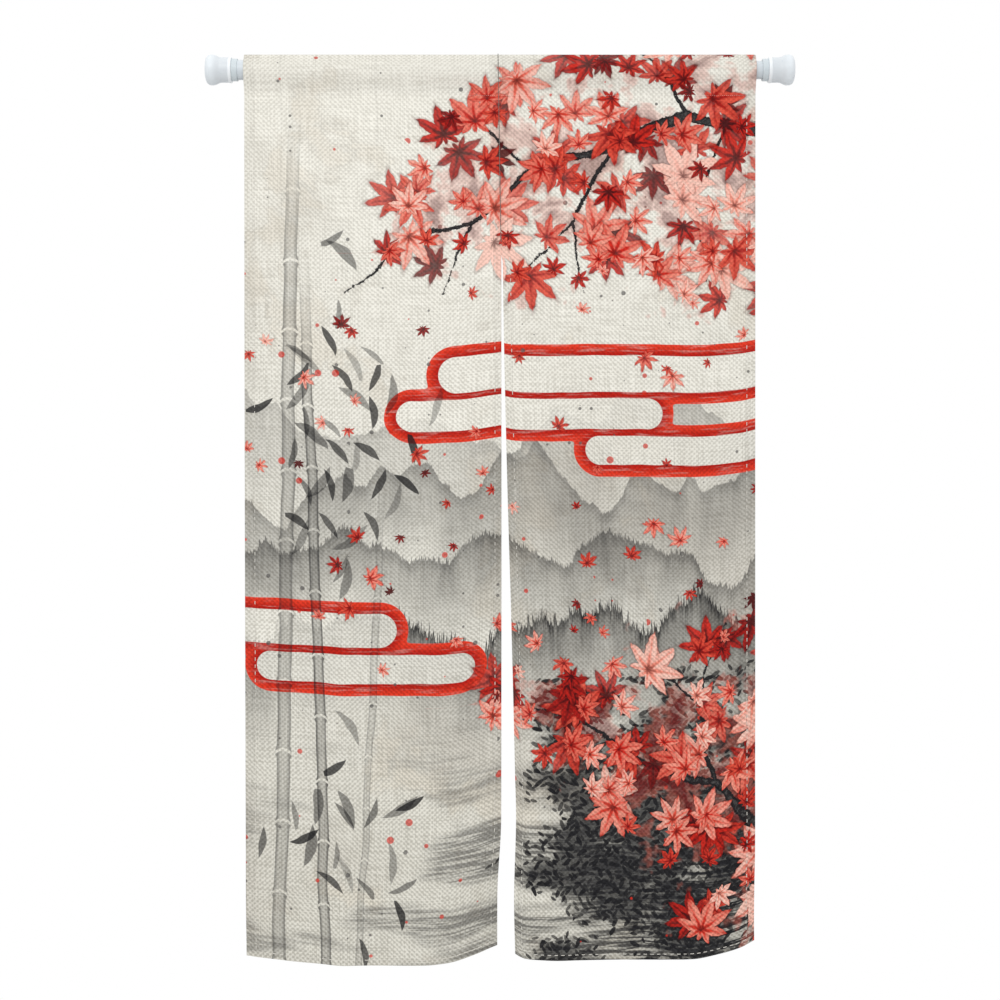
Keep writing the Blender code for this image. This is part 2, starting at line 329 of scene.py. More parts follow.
def cap_outline(socket):
    """Half section of a cap from the pad in its outer face round the bell to its socket's floor."""
    outline = [(CAP_PAD_RECESS, 0.0), (CAP_PAD_RECESS, CAP_PAD_RADIUS),
               (0.0, CAP_PAD_RADIUS + CAP_PAD_RECESS), (0.0, CAP_FACE_RADIUS)]
    dome = CAP_BELL_RADIUS - CAP_FACE_RADIUS
    for step in range(1, DOME_STEPS + 1):
        angle = math.radians(90.0 * step / DOME_STEPS)
        outline.append((CAP_DOME_DEPTH * (1.0 - math.cos(angle)),
                        CAP_FACE_RADIUS + dome * math.sin(angle)))
    for step in range(WAIST_STEPS + 1):
        t = step / WAIST_STEPS
        outline.append((CAP_BELL_END + (CAP_WAIST_START - CAP_BELL_END) * t,
                        CAP_BELL_RADIUS + (CAP_WAIST_RADIUS - CAP_BELL_RADIUS) * smooth(t)))
    bead = CAP_LENGTH - CAP_BEAD_START
    bead_height = CAP_BEAD_RADIUS - CAP_WAIST_RADIUS
    for step in range(BEAD_STEPS + 1):
        t = step / BEAD_STEPS
        outline.append((CAP_BEAD_START + bead * t,
                        CAP_WAIST_RADIUS + bead_height * math.sin(math.pi * t) ** 0.5))
    return outline + [(CAP_LENGTH, socket), (CAP_SOCKET_FLOOR, socket), (CAP_SOCKET_FLOOR, 0.0)]


def fitted(outline, side):
    """An outline drawn for the left end, turned round for the right one."""
    return [(rod_end - x, radius) for x, radius in outline] if side == "right" else outline


COLLAR_TINT = colour(208, 217, 221)
# The cap's third and fourth tones are painted highlights, on the bell and on the bead.
plastic = cap_plastic("cap_plastic", colour(212, 218, 223), colour(223, 228, 231), colour(230, 236, 240),
                      colour(243, 247, 250))
collar_plastic = cap_plastic("collar_plastic", COLLAR_TINT, COLLAR_TINT, COLLAR_TINT, COLLAR_TINT)
for side, tube_radius in (("left", OUTER_RADIUS), ("right", INNER_RADIUS)):
    socket = tube_radius + FIT_GAP
    collar_low, collar_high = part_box("collar_" + side)
    collar_radius = 0.5 * (collar_high.z - collar_low.z)
    closer = FIT_GAP - COLLAR_SHOWN_GAP
    ring_start = collar_low.x - (closer if side == "left" else 0.0)
    ring_end = collar_high.x + (closer if side == "right" else 0.0)
    bore = tube_radius + COLLAR_SHOWN_GAP
    ring = [(ring_start, bore), (ring_start, collar_radius), (ring_end, collar_radius), (ring_end, bore)]
    collar = lathe("ring_" + side, ring, collar_plastic, COLLAR_ROUNDING, (1, 2))
    cap = lathe("cap_" + side, fitted(cap_outline(socket), side), plastic)
    for piece, node in ((collar, "collar_" + side), (cap, "end_cap_" + side)):
        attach(piece, "root")
        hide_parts(node)

# Cloth panels
# Each is one length of printed cloth with a slubbed, linen-like weave. Its long sides and foot are
# turned back and stitched, and its head is folded back over the rod and sewn down as a sleeve.

PLY = 0.0012
CLOTH = 0.0006
SLEEVE_CLEARANCE = 0.0004
SLEEVE_RISE = 0.0275
SLEEVE_DROP = 0.0700
SLEEVE_BAND = 0.0040
SLEEVE_LEAVES_ROD = math.radians(104.0)
DRAW_IN_BEND = 1.15
CREASE_HALF_WIDTH = 0.0015
CREASE_HEIGHT = 0.0013
TURNED_UNDER = 0.010
OUTER_SIDE_HEM = 0.017
SLIT_SIDE_HEM = 0.013
BOTTOM_HEM = 0.0125
FULL_DROP = 1.523
HANG = FULL_DROP - SLEEVE_DROP
SEAM_END = 0.336
SEAM_GAP = 0.0004
SEAM_SINK = 0.0014
SEAM_SINK_WIDTH = 0.0030
SEAM_SINK_START = 0.078
SEAM_SINK_FADE = 0.030
BUCKLES = 0.0011
FINE_BUCKLES = 0.00035
CREASE_WAVER = 0.002
FOLD_START = 0.30
FOLD_FULL = 1.45
CURL_BEND = 1.4
PANEL_WIDTH = 0.4245
ROW_STEP = 0.0062
COLUMN_STEP = 0.0050
HEM_TURN = 0.00062
SLEEVE_TURN = 0.00031
UNDER_TURN = 0.38 * PLY


def table(row_type, *rows):
    return tuple(row_type(*row) for row in rows)


EdgeRow = namedtuple("EdgeRow", "drop x")
HemRow = namedtuple("HemRow", "across rise")
Fold = namedtuple("Fold", "across width back")
Curl = namedtuple("Curl", "across reach back")
LEFT_EDGE = table(EdgeRow, (0.000, 0.0640), (0.500, 0.0645), (FULL_DROP, 0.0675))
RIGHT_EDGE = table(EdgeRow, (0.000, 0.9155), (1.350, 0.9150), (FULL_DROP, 0.9185))
SEAM_EDGE = table(EdgeRow, (0.000, 0.4865), (0.297, 0.4912), (SEAM_END, 0.4920), (0.800, 0.4922),
                  (1.270, 0.4918), (1.410, 0.4852), (FULL_DROP, 0.4850))
SLIT_OPENING = table(EdgeRow, (0.000, SEAM_GAP), (SEAM_END, SEAM_GAP), (0.343, 0.0024), (0.362, 0.0032),
                     (0.411, 0.0038), (0.494, 0.0051), (0.744, 0.0110), (0.911, 0.0160),
                     (1.211, 0.0238), (FULL_DROP, 0.0312))
LEFT_HEM = table(HemRow, (0.00, 0.0192), (0.05, 0.0166), (0.12, 0.0143), (0.28, 0.0075), (0.40, 0.0016),
                 (0.70, 0.0015), (0.80, 0.0045), (0.90, 0.0150), (1.00, 0.0310))
RIGHT_HEM = table(HemRow, (0.00, 0.0207), (0.02, 0.0158), (0.04, 0.0128), (0.07, 0.0118), (0.15, 0.0118),
                  (0.27, 0.0130), (0.43, 0.0145), (0.60, 0.0130), (0.74, 0.0108), (0.86, 0.0178),
                  (0.94, 0.0262), (1.00, 0.0385))
LEFT_FOLDS = table(Fold, (0.20, 0.17, -0.006), (0.54, 0.20, 0.007), (0.84, 0.12, -0.003))
RIGHT_FOLDS = table(Fold, (0.14, 0.12, -0.003), (0.42, 0.20, -0.006), (0.74, 0.15, 0.006))
LEFT_CURLS = table(Curl, (0.0, 0.10, 0.006), (1.0, 0.18, 0.028))
RIGHT_CURLS = table(Curl, (0.0, 0.09, 0.010), (1.0, 0.19, 0.031))

# Soft creases pressed in the cloth: upright ones lie at a place across the panel, level
# ones at a drop; each runs between two places the other way and stands out by `raised`
Crease = namedtuple("Crease", "upright at start end raised half_width")
LEFT_CREASES = table(Crease, (True, 0.145, 0.02, 0.62, 0.0006, 0.006),
                     (False, 0.300, 0.00, 1.00, -0.0004, 0.007),
                     (True, 0.520, 0.70, 1.50, 0.0005, 0.007),
                     (False, 0.905, 0.00, 1.00, 0.0004, 0.008))
RIGHT_CREASES = table(Crease, (True, 0.858, 0.02, 1.50, -0.0007, 0.005),
                      (True, 0.672, 0.90, 1.50, 0.0005, 0.006),
                      (False, 0.290, 0.00, 1.00, 0.0005, 0.006),
                      (False, 0.340, 0.10, 0.95, -0.0004, 0.006))
Panel = namedtuple("Panel", "name node left right hem folds curls creases left_turn right_turn insets "
                            "start seam_across middle regions")


def along_table(rows, place):
    """Read a table of (place, value) rows with a smooth curve that keeps each row's own slope."""
    places = [row[0] for row in rows]
    values = [row[1] for row in rows]
    if place <= places[0]:
        return values[0]
    if place >= places[-1]:
        return values[-1]
    i = max(k for k in range(len(rows) - 1) if places[k] <= place)

    def slope(k):
        if k == 0 or k == len(rows) - 1:
            near = 1 if k == 0 else k
            return (values[near] - values[near - 1]) / (places[near] - places[near - 1])
        before = (values[k] - values[k - 1]) / (places[k] - places[k - 1])
        after = (values[k + 1] - values[k]) / (places[k + 1] - places[k])
        return 0.0 if before * after <= 0.0 else 2.0 * before * after / (before + after)

    step = places[i + 1] - places[i]
    t = (place - places[i]) / step
    start = (1 + 2 * t) * (1 - t) ** 2 * values[i] + t * (1 - t) ** 2 * step * slope(i)
    return start + t * t * (3 - 2 * t) * values[i + 1] + t * t * (t - 1) * step * slope(i + 1)


def sleeve_line():
    """The sleeve's middle line from the front's stitches over the crease to the back's, as (y, z)."""
    wrap = OUTER_RADIUS + SLEEVE_CLEARANCE + PLY / 2
    top = SLEEVE_RISE - PLY / 2
    touch = math.acos(wrap / top)
    half = [(0.0, top), (0.45 * CREASE_HALF_WIDTH, top - 0.3 * CREASE_HEIGHT),
            (CREASE_HALF_WIDTH, top - CREASE_HEIGHT)]
    for step in range(17):
        angle = touch + (SLEEVE_LEAVES_ROD - touch) * step / 16
        half.append((wrap * math.sin(angle), wrap * math.cos(angle)))
    start_y, start_z = half[-1]
    stitch_z = SLEEVE_RISE - SLEEVE_DROP
    for step in range(1, 25):
        t = step / 24
        y = PLY / 2 + (start_y - PLY / 2) * (1.0 - smooth(t)) ** DRAW_IN_BEND
        half.append((y, start_z + (stitch_z - start_z) * t))
    return [(-y, z) for y, z in reversed(half)] + half[1:]


SLEEVE = sleeve_line()
SLEEVE_STEPS = [math.dist(a, b) for a, b in zip(SLEEVE, SLEEVE[1:])]
SLEEVE_LENGTH = sum(SLEEVE_STEPS) / 2


def on_sleeve(path):
    """(y, z) and the outward direction at a distance from the crease, the back's side negative."""
    left = SLEEVE_LENGTH - path
    for k, step in enumerate(SLEEVE_STEPS):
        if left <= step or k == len(SLEEVE_STEPS) - 1:
            break
        left -= step
    (ya, za), (yb, zb) = SLEEVE[k], SLEEVE[k + 1]
    t = left / step
    y = ya + (yb - ya) * t
    z = za + (zb - za) * t
    before = SLEEVE[max(k - 1, 0)]
    after = SLEEVE[min(k + 2, len(SLEEVE) - 1)]
    out = Vector((0.0, -(after[1] - before[1]), after[0] - before[0])).normalized()
    return y, z, out


def hem_drop(panel, across):
    return FULL_DROP - along_table(panel.hem, across)


def hang_back(panel, across, drop):
    """How far the cloth hangs behind the rod's plane, from its folds and curled corners."""
    fullness = smooth((drop - FOLD_START) / (FOLD_FULL - FOLD_START))
    back = 0.0
    for fold in panel.folds:
        back += fold.back * fullness * math.exp(-(((across - fold.across) / fold.width) ** 2))
    bottom = hem_drop(panel, across)
    for curl in panel.curls:
        away = math.hypot((across - curl.across) * PANEL_WIDTH, bottom - drop)
        back += curl.back * smooth(1.0 - away / curl.reach) ** CURL_BEND
    return back


def small_relief(panel, across, drop):
    """Creases, the sunk seam and the faint unevenness of hung cloth, forward of the smooth surface."""
    forward = 0.0
    for crease in panel.creases:
        here, run = (across, drop) if crease.upright else (drop, across)
        scale = PANEL_WIDTH if crease.upright else 1.0
        waver = CREASE_WAVER * noise.noise(Vector((run * 5.0, crease.at * 31.0, 0.5)))
        off = ((here - crease.at) * scale + waver) / crease.half_width
        if abs(off) < 3.0:
            ends = smooth((run - crease.start) * 12.0) * smooth((crease.end - run) * 12.0)
            uneven = 0.7 + 0.6 * noise.noise(Vector((run * 14.0, crease.at * 17.0, 2.5)))
            forward += crease.raised * ends * uneven * math.exp(-off * off)
    off_seam = abs(across - panel.seam_across) * PANEL_WIDTH
    sewn = smooth((drop - SEAM_SINK_START) / SEAM_SINK_FADE)
    sewn *= smooth((SEAM_END + SEAM_SINK_FADE / 2 - drop) / SEAM_SINK_FADE)
    forward -= SEAM_SINK * sewn * math.exp(-off_seam / SEAM_SINK_WIDTH)
    at = Vector((across * PANEL_WIDTH + panel.start, 0.0, drop))
    loose = smooth((drop - 0.09) / 0.25)
    forward += loose * BUCKLES * noise.noise(at * 9.0)
    forward += (0.3 + 0.7 * loose) * FINE_BUCKLES * noise.noise(at * 31.0 + Vector((7.0, 0.0, 0.0)))
    return forward


def turn_over(run, radius):
    """Cloth folded over an edge: run is the way along it from the fold's tip, negative once turned.

    Returns how far in from the tip it lies, and how far behind the face."""
    quarter = 0.5 * math.pi * radius
    if abs(run) <= quarter:
        angle = run / radius
        return radius * (1.0 - math.cos(angle)), radius * (1.0 - math.sin(angle))
    return radius + abs(run) - quarter, 0.0 if run > 0 else 2.0 * radius


def fold_runs(turned, length, step, far_turned, radius):
    """Places along a cloth that is turned over at both ends: dense round the folds, even between."""
    quarter = 0.5 * math.pi * radius
    bend = [quarter * k / 3 for k in range(-3, 4)]
    near = [-turned + (turned - quarter) * k / 4 for k in range(4)] + bend
    far = [length - run for run in reversed(bend)]
    far += [length + quarter + (far_turned - quarter) * k / 4 for k in range(1, 5)]
    count = round((length - 2 * quarter) / step)
    even = [quarter + (length - 2 * quarter) * k / count for k in range(1, count)]
    return near + even + far


def panel_point(panel, side_run, path):
    """Where a place on the flat cloth hangs.

    side_run is measured in from the panel's left edge, and path from the crease on top: down the
    front it is positive, and down the back of the sleeve negative."""
    sleeve = path < SLEEVE_LENGTH
    radius = SLEEVE_TURN if sleeve else HEM_TURN
    if side_run < PANEL_WIDTH / 2:
        inward, behind = turn_over(side_run, radius)
        across = inward / PANEL_WIDTH
    else:
        inward, behind = turn_over(PANEL_WIDTH - side_run, radius)
        across = 1.0 - inward / PANEL_WIDTH
    if sleeve:
        foot = SLEEVE_LENGTH + SLEEVE_BAND
        lift, under = turn_over(path + foot, UNDER_TURN)
        path = lift - foot
        if path < -SLEEVE_LENGTH:
            y, z, out = PLY / 2, SLEEVE_RISE - SLEEVE_DROP + SLEEVE_LENGTH + path, Vector((0, 1, 0))
        else:
            y, z, out = on_sleeve(path)
        drop = SLEEVE_RISE - z
        point = Vector((0.0, y, z)) + out * (PLY / 2 - CLOTH / 2 - behind - under)
        point += out * small_relief(panel, across, max(drop, 0.0)) * 0.5
    else:
        bottom = hem_drop(panel, across)
        down = path - SLEEVE_LENGTH
        lift, under = turn_over(HANG - down, HEM_TURN)
        drop = SLEEVE_DROP + (HANG - lift) * (bottom - SLEEVE_DROP) / HANG
        y = hang_back(panel, across, drop) - PLY + CLOTH / 2 + behind + under
        point = Vector((0.0, y - small_relief(panel, across, drop), SLEEVE_RISE - drop))
    left = along_table(panel.left, drop)
    right = along_table(panel.right, drop)
    point.x = left + (right - left) * across
    return point


# The print is split in regions of the flat cloth, each with a material of its own
Region = namedtuple("Region", "left right low high")
HIGH_SPLIT = 1.06
LOW_SPLIT = 0.62
LEFT_REGIONS = table(Region, (-1.0, 0.14, HIGH_SPLIT, 2.0), (0.14, 1.0, HIGH_SPLIT, 2.0),
                     (-1.0, 1.0, LOW_SPLIT, HIGH_SPLIT), (-1.0, 0.30, -1.0, LOW_SPLIT),
                     (0.30, 1.0, -1.0, LOW_SPLIT))
RIGHT_REGIONS = table(Region, (-1.0, 1.0, HIGH_SPLIT, 2.0), (-1.0, 1.0, LOW_SPLIT, HIGH_SPLIT),
                      (-1.0, 1.0, -1.0, LOW_SPLIT))


def region_of(panel, corners):
    x = sum(corner.x for corner in corners) / len(corners)
    y = sum(corner.y for corner in corners) / len(corners)
    return next(k for k, region in enumerate(panel.regions)
                if region.left <= x < region.right and region.low <= y < region.high)


def build_cloth(panel, faces, reverses):
    """Lay out the cloth as a flat grid, hang it row by row, and thicken it."""
    columns = fold_runs(panel.left_turn, PANEL_WIDTH, COLUMN_STEP, panel.right_turn, HEM_TURN)
    foot = SLEEVE_LENGTH + SLEEVE_BAND
    rows = [run - foot for run in
            fold_runs(TURNED_UNDER, foot + SLEEVE_LENGTH + HANG, ROW_STEP, BOTTOM_HEM, HEM_TURN)]
    bm = bmesh.new()
    bmesh.ops.create_grid(bm, x_segments=len(columns) - 1, y_segments=len(rows) - 1, size=0.5)
    flat = bm.verts.layers.float_vector.new("flat")
    for vert in bm.verts:
        run = columns[round((vert.co.x + 0.5) * (len(columns) - 1))]
        path = rows[round((vert.co.y + 0.5) * (len(rows) - 1))]
        vert[flat] = (panel.start + run, HANG + SLEEVE_LENGTH - path, 0.0)
        vert.co = panel_point(panel, run, path)
    bmesh.ops.recalc_face_normals(bm, faces=bm.faces)
    front = Vector((panel.middle, -1.0, -0.8))
    nearest = min(bm.faces, key=lambda face: (face.calc_center_median() - front).length)
    if nearest.normal.y > 0.0:
        bmesh.ops.reverse_faces(bm, faces=bm.faces)
    for face in bm.faces:
        face.material_index = region_of(panel, [vert[flat] for vert in face.verts])
    cloth = finish_object(panel.name, bm, faces[0], 75)
    for material in faces[1:] + reverses:
        cloth.data.materials.append(material)
    thickness = cloth.modifiers.new("thickness", "SOLIDIFY")
    thickness.thickness = CLOTH
    thickness.offset = 0.0
    thickness.material_offset = len(faces)
    return cloth


# The cloth is sold printed. The print here is a made-up autumn view in ink and red: maple boughs and
# loose leaves, hills in mist, outlined mist bands, bamboo and a shore, brushed on the cream ground.

YARN_REPEAT_X = 0.00853
YARN_REPEAT_Y = 0.00804
YARNS_IN_REPEAT = 8
LEAF_LOBE = math.radians(44.0)
TABLE_WIDTH = 0.90
TABLE_HEIGHT = 1.60
TABLE_REACH = 0.40

CREAM = colour(234, 231, 220)
SHADE_WASH = colour(200, 195, 184)
BOTTOM_DARKER_TONE = colour(196, 193, 182)
STAIN = colour(212, 202, 184)
INK = colour(30, 30, 33)
MID_INK = colour(92, 90, 88)
PALE_INK = colour(150, 147, 141)
VERMILION = colour(206, 44, 26)
LEAF_COLOURS = ((0.0, colour(84, 10, 14)), (0.16, colour(150, 22, 20)), (0.38, colour(206, 40, 28)),
                (0.56, colour(224, 84, 64)), (0.76, colour(238, 146, 126)), (1.0, colour(246, 200, 184)))
LEAF_HEART = colour(74, 14, 16)
# The dark tone that painted shade on the cloth is mixed towards: over two plies, over the rod and along
# creases.
PAINTED_CLOTH_SHADE = colour(70, 66, 60)

# A bough is a few limbs, each a chain of places where the brush narrows
Limb = namedtuple("Limb", "x y half_width")
UPPER_BOUGH = (
    table(Limb, (0.870, 1.385, 0.0105), (0.735, 1.425, 0.0088), (0.610, 1.365, 0.0072),
          (0.480, 1.335, 0.0054), (0.370, 1.245, 0.0038), (0.255, 1.205, 0.0024), (0.165, 1.115, 0.0008)),
    table(Limb, (0.735, 1.425, 0.0046), (0.640, 1.570, 0.0020)),
    table(Limb, (0.610, 1.365, 0.0040), (0.545, 1.235, 0.0026), (0.560, 1.120, 0.0008)),
    table(Limb, (0.545, 1.235, 0.0022), (0.455, 1.150, 0.0008)),
    table(Limb, (0.480, 1.335, 0.0034), (0.350, 1.430, 0.0010)),
    table(Limb, (0.370, 1.245, 0.0024), (0.330, 1.120, 0.0007)),
    table(Limb, (0.800, 1.405, 0.0036), (0.745, 1.270, 0.0022), (0.765, 1.130, 0.0007)))
LOWER_BOUGH = (
    table(Limb, (0.880, 0.180, 0.0088), (0.775, 0.290, 0.0068), (0.640, 0.330, 0.0044),
          (0.520, 0.420, 0.0022), (0.430, 0.430, 0.0007)),
    table(Limb, (0.775, 0.290, 0.0044), (0.745, 0.430, 0.0024), (0.665, 0.530, 0.0007)),
    table(Limb, (0.745, 0.430, 0.0022), (0.800, 0.560, 0.0007)),
    table(Limb, (0.640, 0.330, 0.0028), (0.560, 0.240, 0.0008)))

# The band of leaves along a bough: its middle and how far it reaches up and down, from left to right
Foliage = namedtuple("Foliage", "x middle reach")
UPPER_FOLIAGE = table(Foliage, (0.205, 1.19, 0.0005), (0.26, 1.23, 0.090), (0.35, 1.28, 0.150),
                      (0.47, 1.31, 0.185), (0.62, 1.34, 0.230), (0.76, 1.36, 0.290), (0.88, 1.37, 0.340))
LOWER_FOLIAGE = table(Foliage, (0.365, 0.43, 0.0005), (0.44, 0.42, 0.060), (0.55, 0.39, 0.120),
                      (0.66, 0.34, 0.200), (0.76, 0.31, 0.280), (0.88, 0.29, 0.330))
ANYWHERE = table(Foliage, (0.00, 0.80, 0.399), (0.90, 0.80, 0.399))

# Each layer of leaves covers the one before it. `size` is a leaf's half length, `tone` moves it
# along the leaf colours, and `fill` is the share of the places in the foliage that carry a leaf
Leaves = namedtuple("Leaves", "size turn shift tone fill opacity")
THICK_LEAVES = table(Leaves, (0.054, 0.90, 4.61, -0.16, 1.00, 0.85), (0.046, 0.35, 3.17, -0.08, 1.00, 0.92),
                     (0.060, 1.10, 7.91, 0.04, 1.00, 0.94), (0.064, 0.75, 1.43, 0.24, 0.90, 0.96),
                     (0.045, 0.20, 5.39, 0.06, 0.85, 0.97), (0.029, 1.45, 9.07, -0.04, 0.70, 0.97))
LOOSE_LEAVES = table(Leaves, (0.024, 0.60, 2.71, -0.02, 0.09, 0.94), (0.014, 0.95, 6.33, -0.10, 0.07, 0.94))

# Hills from far to near: the height of the crest, how much it rises and falls, and its ink
Hill = namedtuple("Hill", "crest swing hills_per_metre trees depth seed ink")
FAR_HILLS = (Hill(0.910, 0.210, 4.2, 0.000, 0.120, 1.7, 0.40),
             Hill(0.800, 0.190, 5.1, 0.004, 0.100, 5.3, 0.56))
NEAR_HILLS = (Hill(0.690, 0.150, 4.6, 0.012, 0.090, 8.9, 0.66),
              Hill(0.560, 0.130, 5.7, 0.026, 0.100, 3.4, 0.94))

# Mist bands: level bars with round ends, joined where they overlap, then outlined
Band = namedtuple("Band", "x y half_length half_height")
UPPER_BANDS = (Band(0.640, 0.985, 0.330, 0.040), Band(0.470, 0.918, 0.230, 0.036),
               Band(0.760, 0.856, 0.210, 0.034))
LOWER_BANDS = (Band(0.060, 0.560, 0.200, 0.038), Band(0.200, 0.495, 0.190, 0.034))
BAND_LINE = 0.0100

Cane = namedtuple("Cane", "x lean half_width top joint ink")
CANES = (Cane(0.055, 0.020, 0.0115, 1.480, 0.118, 0.72), Cane(0.135, -0.030, 0.0090, 1.250, 0.104, 0.92),
         Cane(0.190, 0.045, 0.0060, 0.930, 0.088, 0.50))


def painted(finish, groups, paint, under, place, *facts):
    """Lay one motif over the colour so far. Each motif is one node group, shared by the cloths.

    The motif's place is moved by a billionth of that colour, which keeps the motifs in order: each is
    worked out only when the one under it is done."""
    key = (paint.__name__, facts)
    if key not in groups:
        group = bpy.data.node_groups.new(paint.__name__, "ShaderNodeTree")
        group.interface.new_socket("under", in_out="INPUT", socket_type="NodeSocketColor")
        group.interface.new_socket("place", in_out="INPUT", socket_type="NodeSocketVector")
        group.interface.new_socket("over", in_out="OUTPUT", socket_type="NodeSocketColor")
        nodes = Nodes(group, "2D")
        given = [Wire(nodes, socket) for socket in group.nodes.new("NodeGroupInput").outputs]
        speck = 1e-9
        ordered = nodes.vector("MULTIPLY_ADD", given[0], (speck, speck, speck), given[1])
        over = paint(nodes, given[0], ordered, *facts)
        nodes.feed(group.nodes.new("NodeGroupOutput").inputs["over"], over)
        groups[key] = group
    return finish.node("Group", {"node_tree": groups[key]}, {"under": under, "place": place})


def warp(nodes, place, scale, amount, detail=1.0):
    """Push places about by up to half of `amount` metres, as a loaded brush wanders."""
    settings = {"noise_dimensions": "2D"}
    inputs = {"Vector": place, "Scale": scale, "Detail": detail}
    push = nodes.node("TexNoise", settings, inputs, output=1)
    shift = nodes.vector("MULTIPLY_ADD", push, (amount, amount, 0.0), (-amount / 2, -amount / 2, 0.0))
    return nodes.vector("ADD", place, shift)


def scattered(nodes, place, pitch, looseness):
    """A loose grid of places: distance to the nearest, where that one is, and its random numbers."""
    cells = nodes.tree.nodes.new("ShaderNodeTexVoronoi")
    cells.voronoi_dimensions = "2D"
    nodes.feed(cells.inputs["Vector"], place)
    cells.inputs["Scale"].default_value = 1.0 / pitch
    cells.inputs["Randomness"].default_value = looseness
    away, tints, middle = (Wire(nodes, cells.outputs[name]) for name in ("Distance", "Color", "Position"))
    return away, middle, nodes.split(tints)


def ramp(nodes, share, stops, interpolation="LINEAR"):
    added = nodes.node("ValToRGB", {}, {"Fac": share})
    bar = added.socket.node.color_ramp
    bar.interpolation = interpolation
    for stop, shade in stops[1:-1]:
        bar.elements.new(stop).color = shade
    for end in (0, -1):
        bar.elements[end].position = stops[end][0]
        bar.elements[end].color = stops[end][1]
    return added


def paint_ground(nodes, under, place):
    wide = nodes.grain(place, 2.3, 3.0, 0.55)
    patches = nodes.grain(warp(nodes, place, 5.0, 0.12), 5.5, 4.0, 0.6)
    _, height, _ = nodes.split(place)
    # The ground grows darker towards the bottom, unevenly.
    low = nodes.step(nodes.fuse(wide, -0.8, height), 1.20, -0.60)
    tone = nodes.mix(low * 0.6, under, BOTTOM_DARKER_TONE)
    tone = nodes.mix(nodes.step(wide, 0.46, 0.72) * 0.75, tone, SHADE_WASH)
    tone = nodes.mix(nodes.step(patches, 0.53, 0.66) * 0.35, tone, STAIN)
    rim = nodes.step(abs(patches - 0.585), 0.016, 0.0)
    return nodes.mix(rim * 0.14, tone, PALE_INK)


def stroke_distance(nodes, place, start, end):
    """Distance to a tapered brush stroke, less its half width: negative on the stroke."""
    run = Vector((end.x - start.x, end.y - start.y, 0.0))
    from_start = nodes.vector("SUBTRACT", place, (start.x, start.y, 0.0))
    share = nodes.vector("DOT_PRODUCT", from_start, run / run.length_squared, output=1)
    share = nodes.node("Clamp", {}, {"Value": share})
    foot = nodes.node("VectorMath", {"operation": "SCALE"}, {0: run, "Scale": share})
    away = nodes.vector("DISTANCE", from_start, foot, output=1)
    return away - nodes.fuse(share, end.half_width - start.half_width, start.half_width)


def paint_bough(nodes, under, place, limbs):
    drawn = warp(nodes, warp(nodes, place, 9.0, 0.030), 60.0, 0.005)
    strokes = [pair for limb in limbs for pair in zip(limb, limb[1:])]
    nearest = stroke_distance(nodes, drawn, *strokes[0])
    for stroke in strokes[1:]:
        nearest = nodes.maths("MINIMUM", nearest, stroke_distance(nodes, drawn, *stroke))
    bark = nodes.grain(drawn, 130.0, 3.0, 0.8)
    body = nodes.step(nodes.fuse(bark, 0.0090, nearest), 0.0052, 0.0040)
    core = nodes.step(nearest, -0.0020, -0.0050) * nodes.step(bark, 0.46, 0.60)
    tone = nodes.mix(core * 0.6, INK, MID_INK)
    return nodes.mix(body * nodes.fuse(bark, 0.4, 0.8), under, tone)


def off_foliage(nodes, x, y, foliage):
    """How far a place is from the middle of the band of leaves, 1 at the band's edge."""
    rows = [(row.x / TABLE_WIDTH, (row.middle / TABLE_HEIGHT, row.reach / TABLE_REACH, 0.0, 1.0))
            for row in foliage]
    height, reach, _ = nodes.split(ramp(nodes, x * (1.0 / TABLE_WIDTH), rows, "EASE"))
    return abs(nodes.fuse(height, -TABLE_HEIGHT, y)) / (reach * TABLE_REACH)


